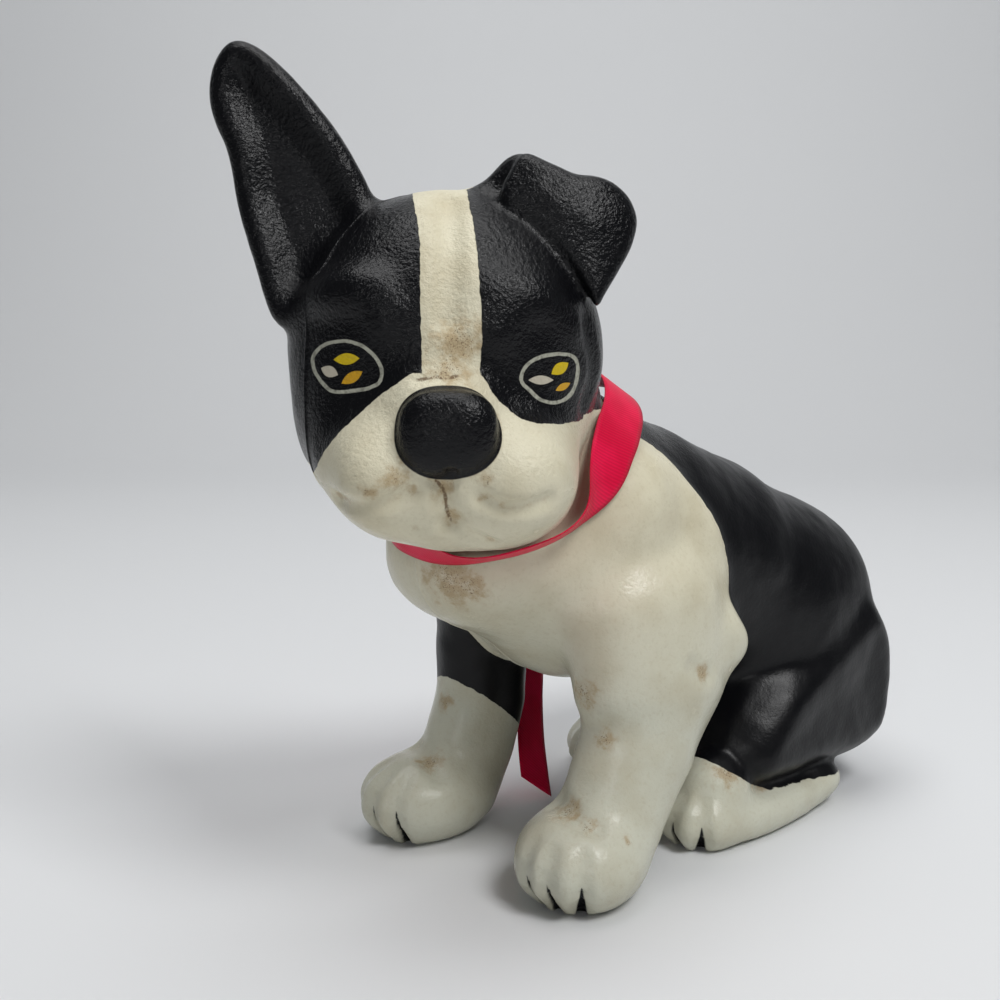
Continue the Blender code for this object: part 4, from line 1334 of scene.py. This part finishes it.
def band_edge(clay, height, steps=150, passes=3):
    """One edge of the band, closed and evened, at a height over its middle."""
    angles = [KNOT_ANGLE + 2 * math.pi * k / steps for k in range(steps)]
    points = np.array([neck_point(clay, angle, height) for angle in angles])
    for _ in range(passes):
        points = (np.roll(points, 1, 0) + 2 * points + np.roll(points, -1, 0)) / 4
    return np.vstack([points, points[:1]])


def neck_band(clay, satin):
    low, high = (band_edge(clay, height) for height in (-RIBBON_WIDTH / 2, RIBBON_WIDTH / 2))
    across = high - low
    widths = np.linalg.norm(across, axis=1)
    band, run = strip_object("neck_ribbon", (low + high) / 2, across / widths[:, None], widths, satin)
    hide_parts("ribbon_neck_band")
    return band, run


def nape_fold(clay):
    """The skin behind the left jowl, which swells up to the ribbon."""
    fold = []
    for degrees in range(*NAPE_FOLD):
        angle = math.radians(degrees)
        lift = -RIBBON_CLEARANCE - looseness(angle) - NAPE_FOLD_SINK
        fold.append(neck_point(clay, angle, RIBBON_WIDTH / 2 + 1, lift))
    clay.add(Strand(fold, NAPE_FOLD_RADIUS), 3)


def over_flank(clay, y, z):
    """A place of a tail's middle line, clear of whatever stands out of the right flank under its width."""
    outermost = 0
    for aside, above in ((0, 0), (-6, 0), (6, 0), (0, -6), (0, 6)):
        met = clay.meet((-90, y + aside, z + above), (1, 0, 0), 120)
        if met is not None:
            outermost = min(outermost, met[0])
    return np.array((outermost - TAIL_CLEARANCE, y, z))


def knot_centre(clay):
    return neck_point(clay, KNOT_ANGLE, 0, KNOT_LIFT)


def ribbon_knot(clay, satin):
    """The knot: a tight crossing of gathered ribbon, on the hidden side of the neck."""
    edit = bmesh.new()
    bmesh.ops.create_icosphere(edit, subdivisions=5, radius=1)
    turn = NECK.turn @ turned(z=math.degrees(KNOT_ANGLE))
    centre = knot_centre(clay)
    places = []
    for vert in edit.verts:
        x, y, z = vert.co
        pleat = 1 + KNOT_PLEAT_DEPTH * math.cos(KNOT_PLEATS * math.atan2(z, y) + 3 * x) * (1 - abs(x))
        waist = 1 - KNOT_WAIST * math.exp(-((y * 2.2) ** 2))
        local = np.array((x * pleat, y * pleat, z * waist)) * KNOT_RADII
        places.append((y * 9, z * 5, 0))
        vert.co = Vector(centre + turn @ local)
    for face in edit.faces:
        face.smooth = True
    knot = placed("knot", edit)
    note_places(knot, "cloth_place", places)
    knot.data.materials.append(satin)
    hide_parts("ribbon_knot")
    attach(knot, "root")
    return knot


def laid_route(clay, ends, steps, bow):
    """A tail's way over the flank between two places, bowed up by this much halfway."""
    shares = np.linspace(0, 1, steps + 1)
    places = ends[0] + shares[:, None] * (ends[1] - ends[0])
    places[:, 1] += bow * np.sin(math.pi * shares)
    return [over_flank(clay, y, z) for y, z in places]


def tail_strip(clay, name, leaving, places, satin):
    """A tail that leaves the knot by a small step and goes on through places, its flat side to the flank."""
    middles = smooth_line([knot_centre(clay) + leaving] + places, steps=6)
    sides = np.cross(np.gradient(middles, axis=0), (1, 0, 0))
    sides /= np.linalg.norm(sides, axis=1, keepdims=True)
    widths = np.full(len(middles), float(RIBBON_WIDTH))
    widths[:6] = np.linspace(TAIL_ROOT_WIDTH, RIBBON_WIDTH, 6)
    return strip_object(name, middles, sides, widths, satin)


def long_tail(clay, satin):
    laid = laid_route(clay, LONG_TAIL_LAID, 4, -1)
    shares = np.array((0, 0.2, 0.4, 0.64, 0.87, 1.08))[:, None]
    hanging = LONG_TAIL_HANGS + shares * (LONG_TAIL_END - LONG_TAIL_HANGS)
    hanging[:, 1] -= 3 * np.sin(math.pi * shares[:, 0])
    tail, run = tail_strip(clay, "long_tail", (0, 0, -3), laid + list(hanging), satin)
    cut_aslant(tail)
    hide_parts("ribbon_long_tail")
    return tail, run


def cut_aslant(tail):
    """Trims the long tail's end, from its front edge down to its rear corner just over the floor."""
    corner = Vector((*LONG_TAIL_END[:2], 0.5)) + Vector((0, RIBBON_WIDTH / 2, 0))
    edit = bmesh.new()
    edit.from_mesh(tail.data)
    way = Vector((0, math.sin(LONG_TAIL_TRIM), math.cos(LONG_TAIL_TRIM)))
    bisected(edit, (corner + Vector(SHIFT)) * MM, way)
    edit.to_mesh(tail.data)
    edit.free()


def short_tail(clay, satin):
    tail, run = tail_strip(clay, "short_tail", (0, 3, 0), laid_route(clay, SHORT_TAIL_LAID, 3, 3), satin)
    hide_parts("ribbon_short_tail")
    return tail, run


def drill_for_screw(clay):
    """The head's recess and the bore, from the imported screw's own place."""
    top, tip = (corner.x / MM - SHIFT[0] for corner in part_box("assembly_screw"))
    seat = top + SCREW_HEAD_HEIGHT + SEAT_GAP
    x, y, z = np.meshgrid(*clay.axes, indexing="ij", sparse=True)
    around = np.hypot(y - SCREW_Y, z - SCREW_Z)
    recess = np.maximum(around - SCREW_HEAD_ROOM, x - seat)
    bore = np.maximum(around - SCREW_BORE, x - tip - 1)
    hole = np.minimum(recess, bore).astype(np.float32)
    clay.field = np.maximum(clay.field, -hole)


# Stage


def floor_and_wall():
    """Pale paper laid on a table, which sweeps up into a wall behind the figure."""
    paper, tree = new_material("pale_floor")
    surface(tree, {"Base Color": PAPER, "Roughness": 0.7})
    ahead = Vector((-math.sin(CAMERA_AZIMUTH), math.cos(CAMERA_AZIMUTH), 0))
    across = Vector((ahead.y, -ahead.x, 0))
    profile = [(-3.0, 0.0), (-1.0, 0.0), (0.0, 0.0), (0.5, 0.0)]
    for turn in np.linspace(0, math.pi / 2, 13):
        profile.append((WALL_START + SWEEP * math.sin(turn), SWEEP * (1 - math.cos(turn))))
    profile.append((WALL_START + SWEEP, 2.6))
    edit = bmesh.new()
    rows = []
    for run, up in profile:
        middle = ahead * run + Vector((0, 0, up))
        rows.append([edit.verts.new(middle + across * side) for side in (-3, 3)])
    for first, second in zip(rows, rows[1:]):
        edit.faces.new((first[0], first[1], second[1], second[0])).smooth = True
    mesh = bpy.data.meshes.new("floor")
    edit.to_mesh(mesh)
    edit.free()
    mesh.materials.append(paper)
    floor = linked("floor", mesh)


def lamp(name, place, size, watts, target=FIGURE_MIDDLE):
    light = bpy.data.lights.new(name, "AREA")
    light.size = size
    light.energy = watts
    obj = linked(name, light)
    obj.location = place
    obj.rotation_euler = (Vector(target) - Vector(place)).to_track_quat("-Z", "Y").to_euler()


def lights():
    world = bpy.data.worlds.new("room")
    world.use_nodes = True
    bpy.context.scene.world = world
    sky = world.node_tree.nodes["Background"].inputs
    sky["Color"].default_value = (*SKY, 1)
    sky["Strength"].default_value = SKY_STRENGTH
    lamp("window", (1.0, -0.05, 1.4), 0.6, 16)
    lamp("room", (0.95, -1.55, 0.65), 0.4, 3.5)
    lamp("ceiling", (-0.2, -0.4, 1.7), 0.6, 3.5)
    lamp("wall", (-0.2, 0.2, 1.6), 1.2, 12, (-0.6, 0.6, 0.3))


def camera():
    lens = bpy.data.cameras.new("camera")
    lens.sensor_width = SENSOR
    lens.lens = FOCUS / PHOTO_SIZE * SENSOR
    obj = linked("camera", lens)
    obj.location = Vector((CAMERA_PLACE + SHIFT) * MM)
    obj.rotation_euler = Matrix(sight_axes()).transposed().to_euler()
    bpy.context.scene.camera = obj


def main():
    bpy.context.scene.view_settings.view_transform = "Standard"
    camera()
    lights()
    floor_and_wall()
    groups = {"leaf": leaf_group(), "grain": cast_grain_group(), "stain_and_shade": stain_and_shade_group()}
    enamel = painted_iron(groups)
    satin = red_satin()
    clay, toes = shaped_figure()
    band, band_run = neck_band(clay, satin)
    nape_fold(clay)
    knot = ribbon_knot(clay, satin)
    tail, tail_run = long_tail(clay, satin)
    stub, stub_run = short_tail(clay, satin)
    drill_for_screw(clay)
    casting_halves(clay, toes, enamel)
    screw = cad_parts["assembly_screw"]
    screw.data.materials.clear()
    screw.data.materials.append(dull_steel(groups))
    band_run * MM
    tail_run * MM
    stub_run * MM


main()
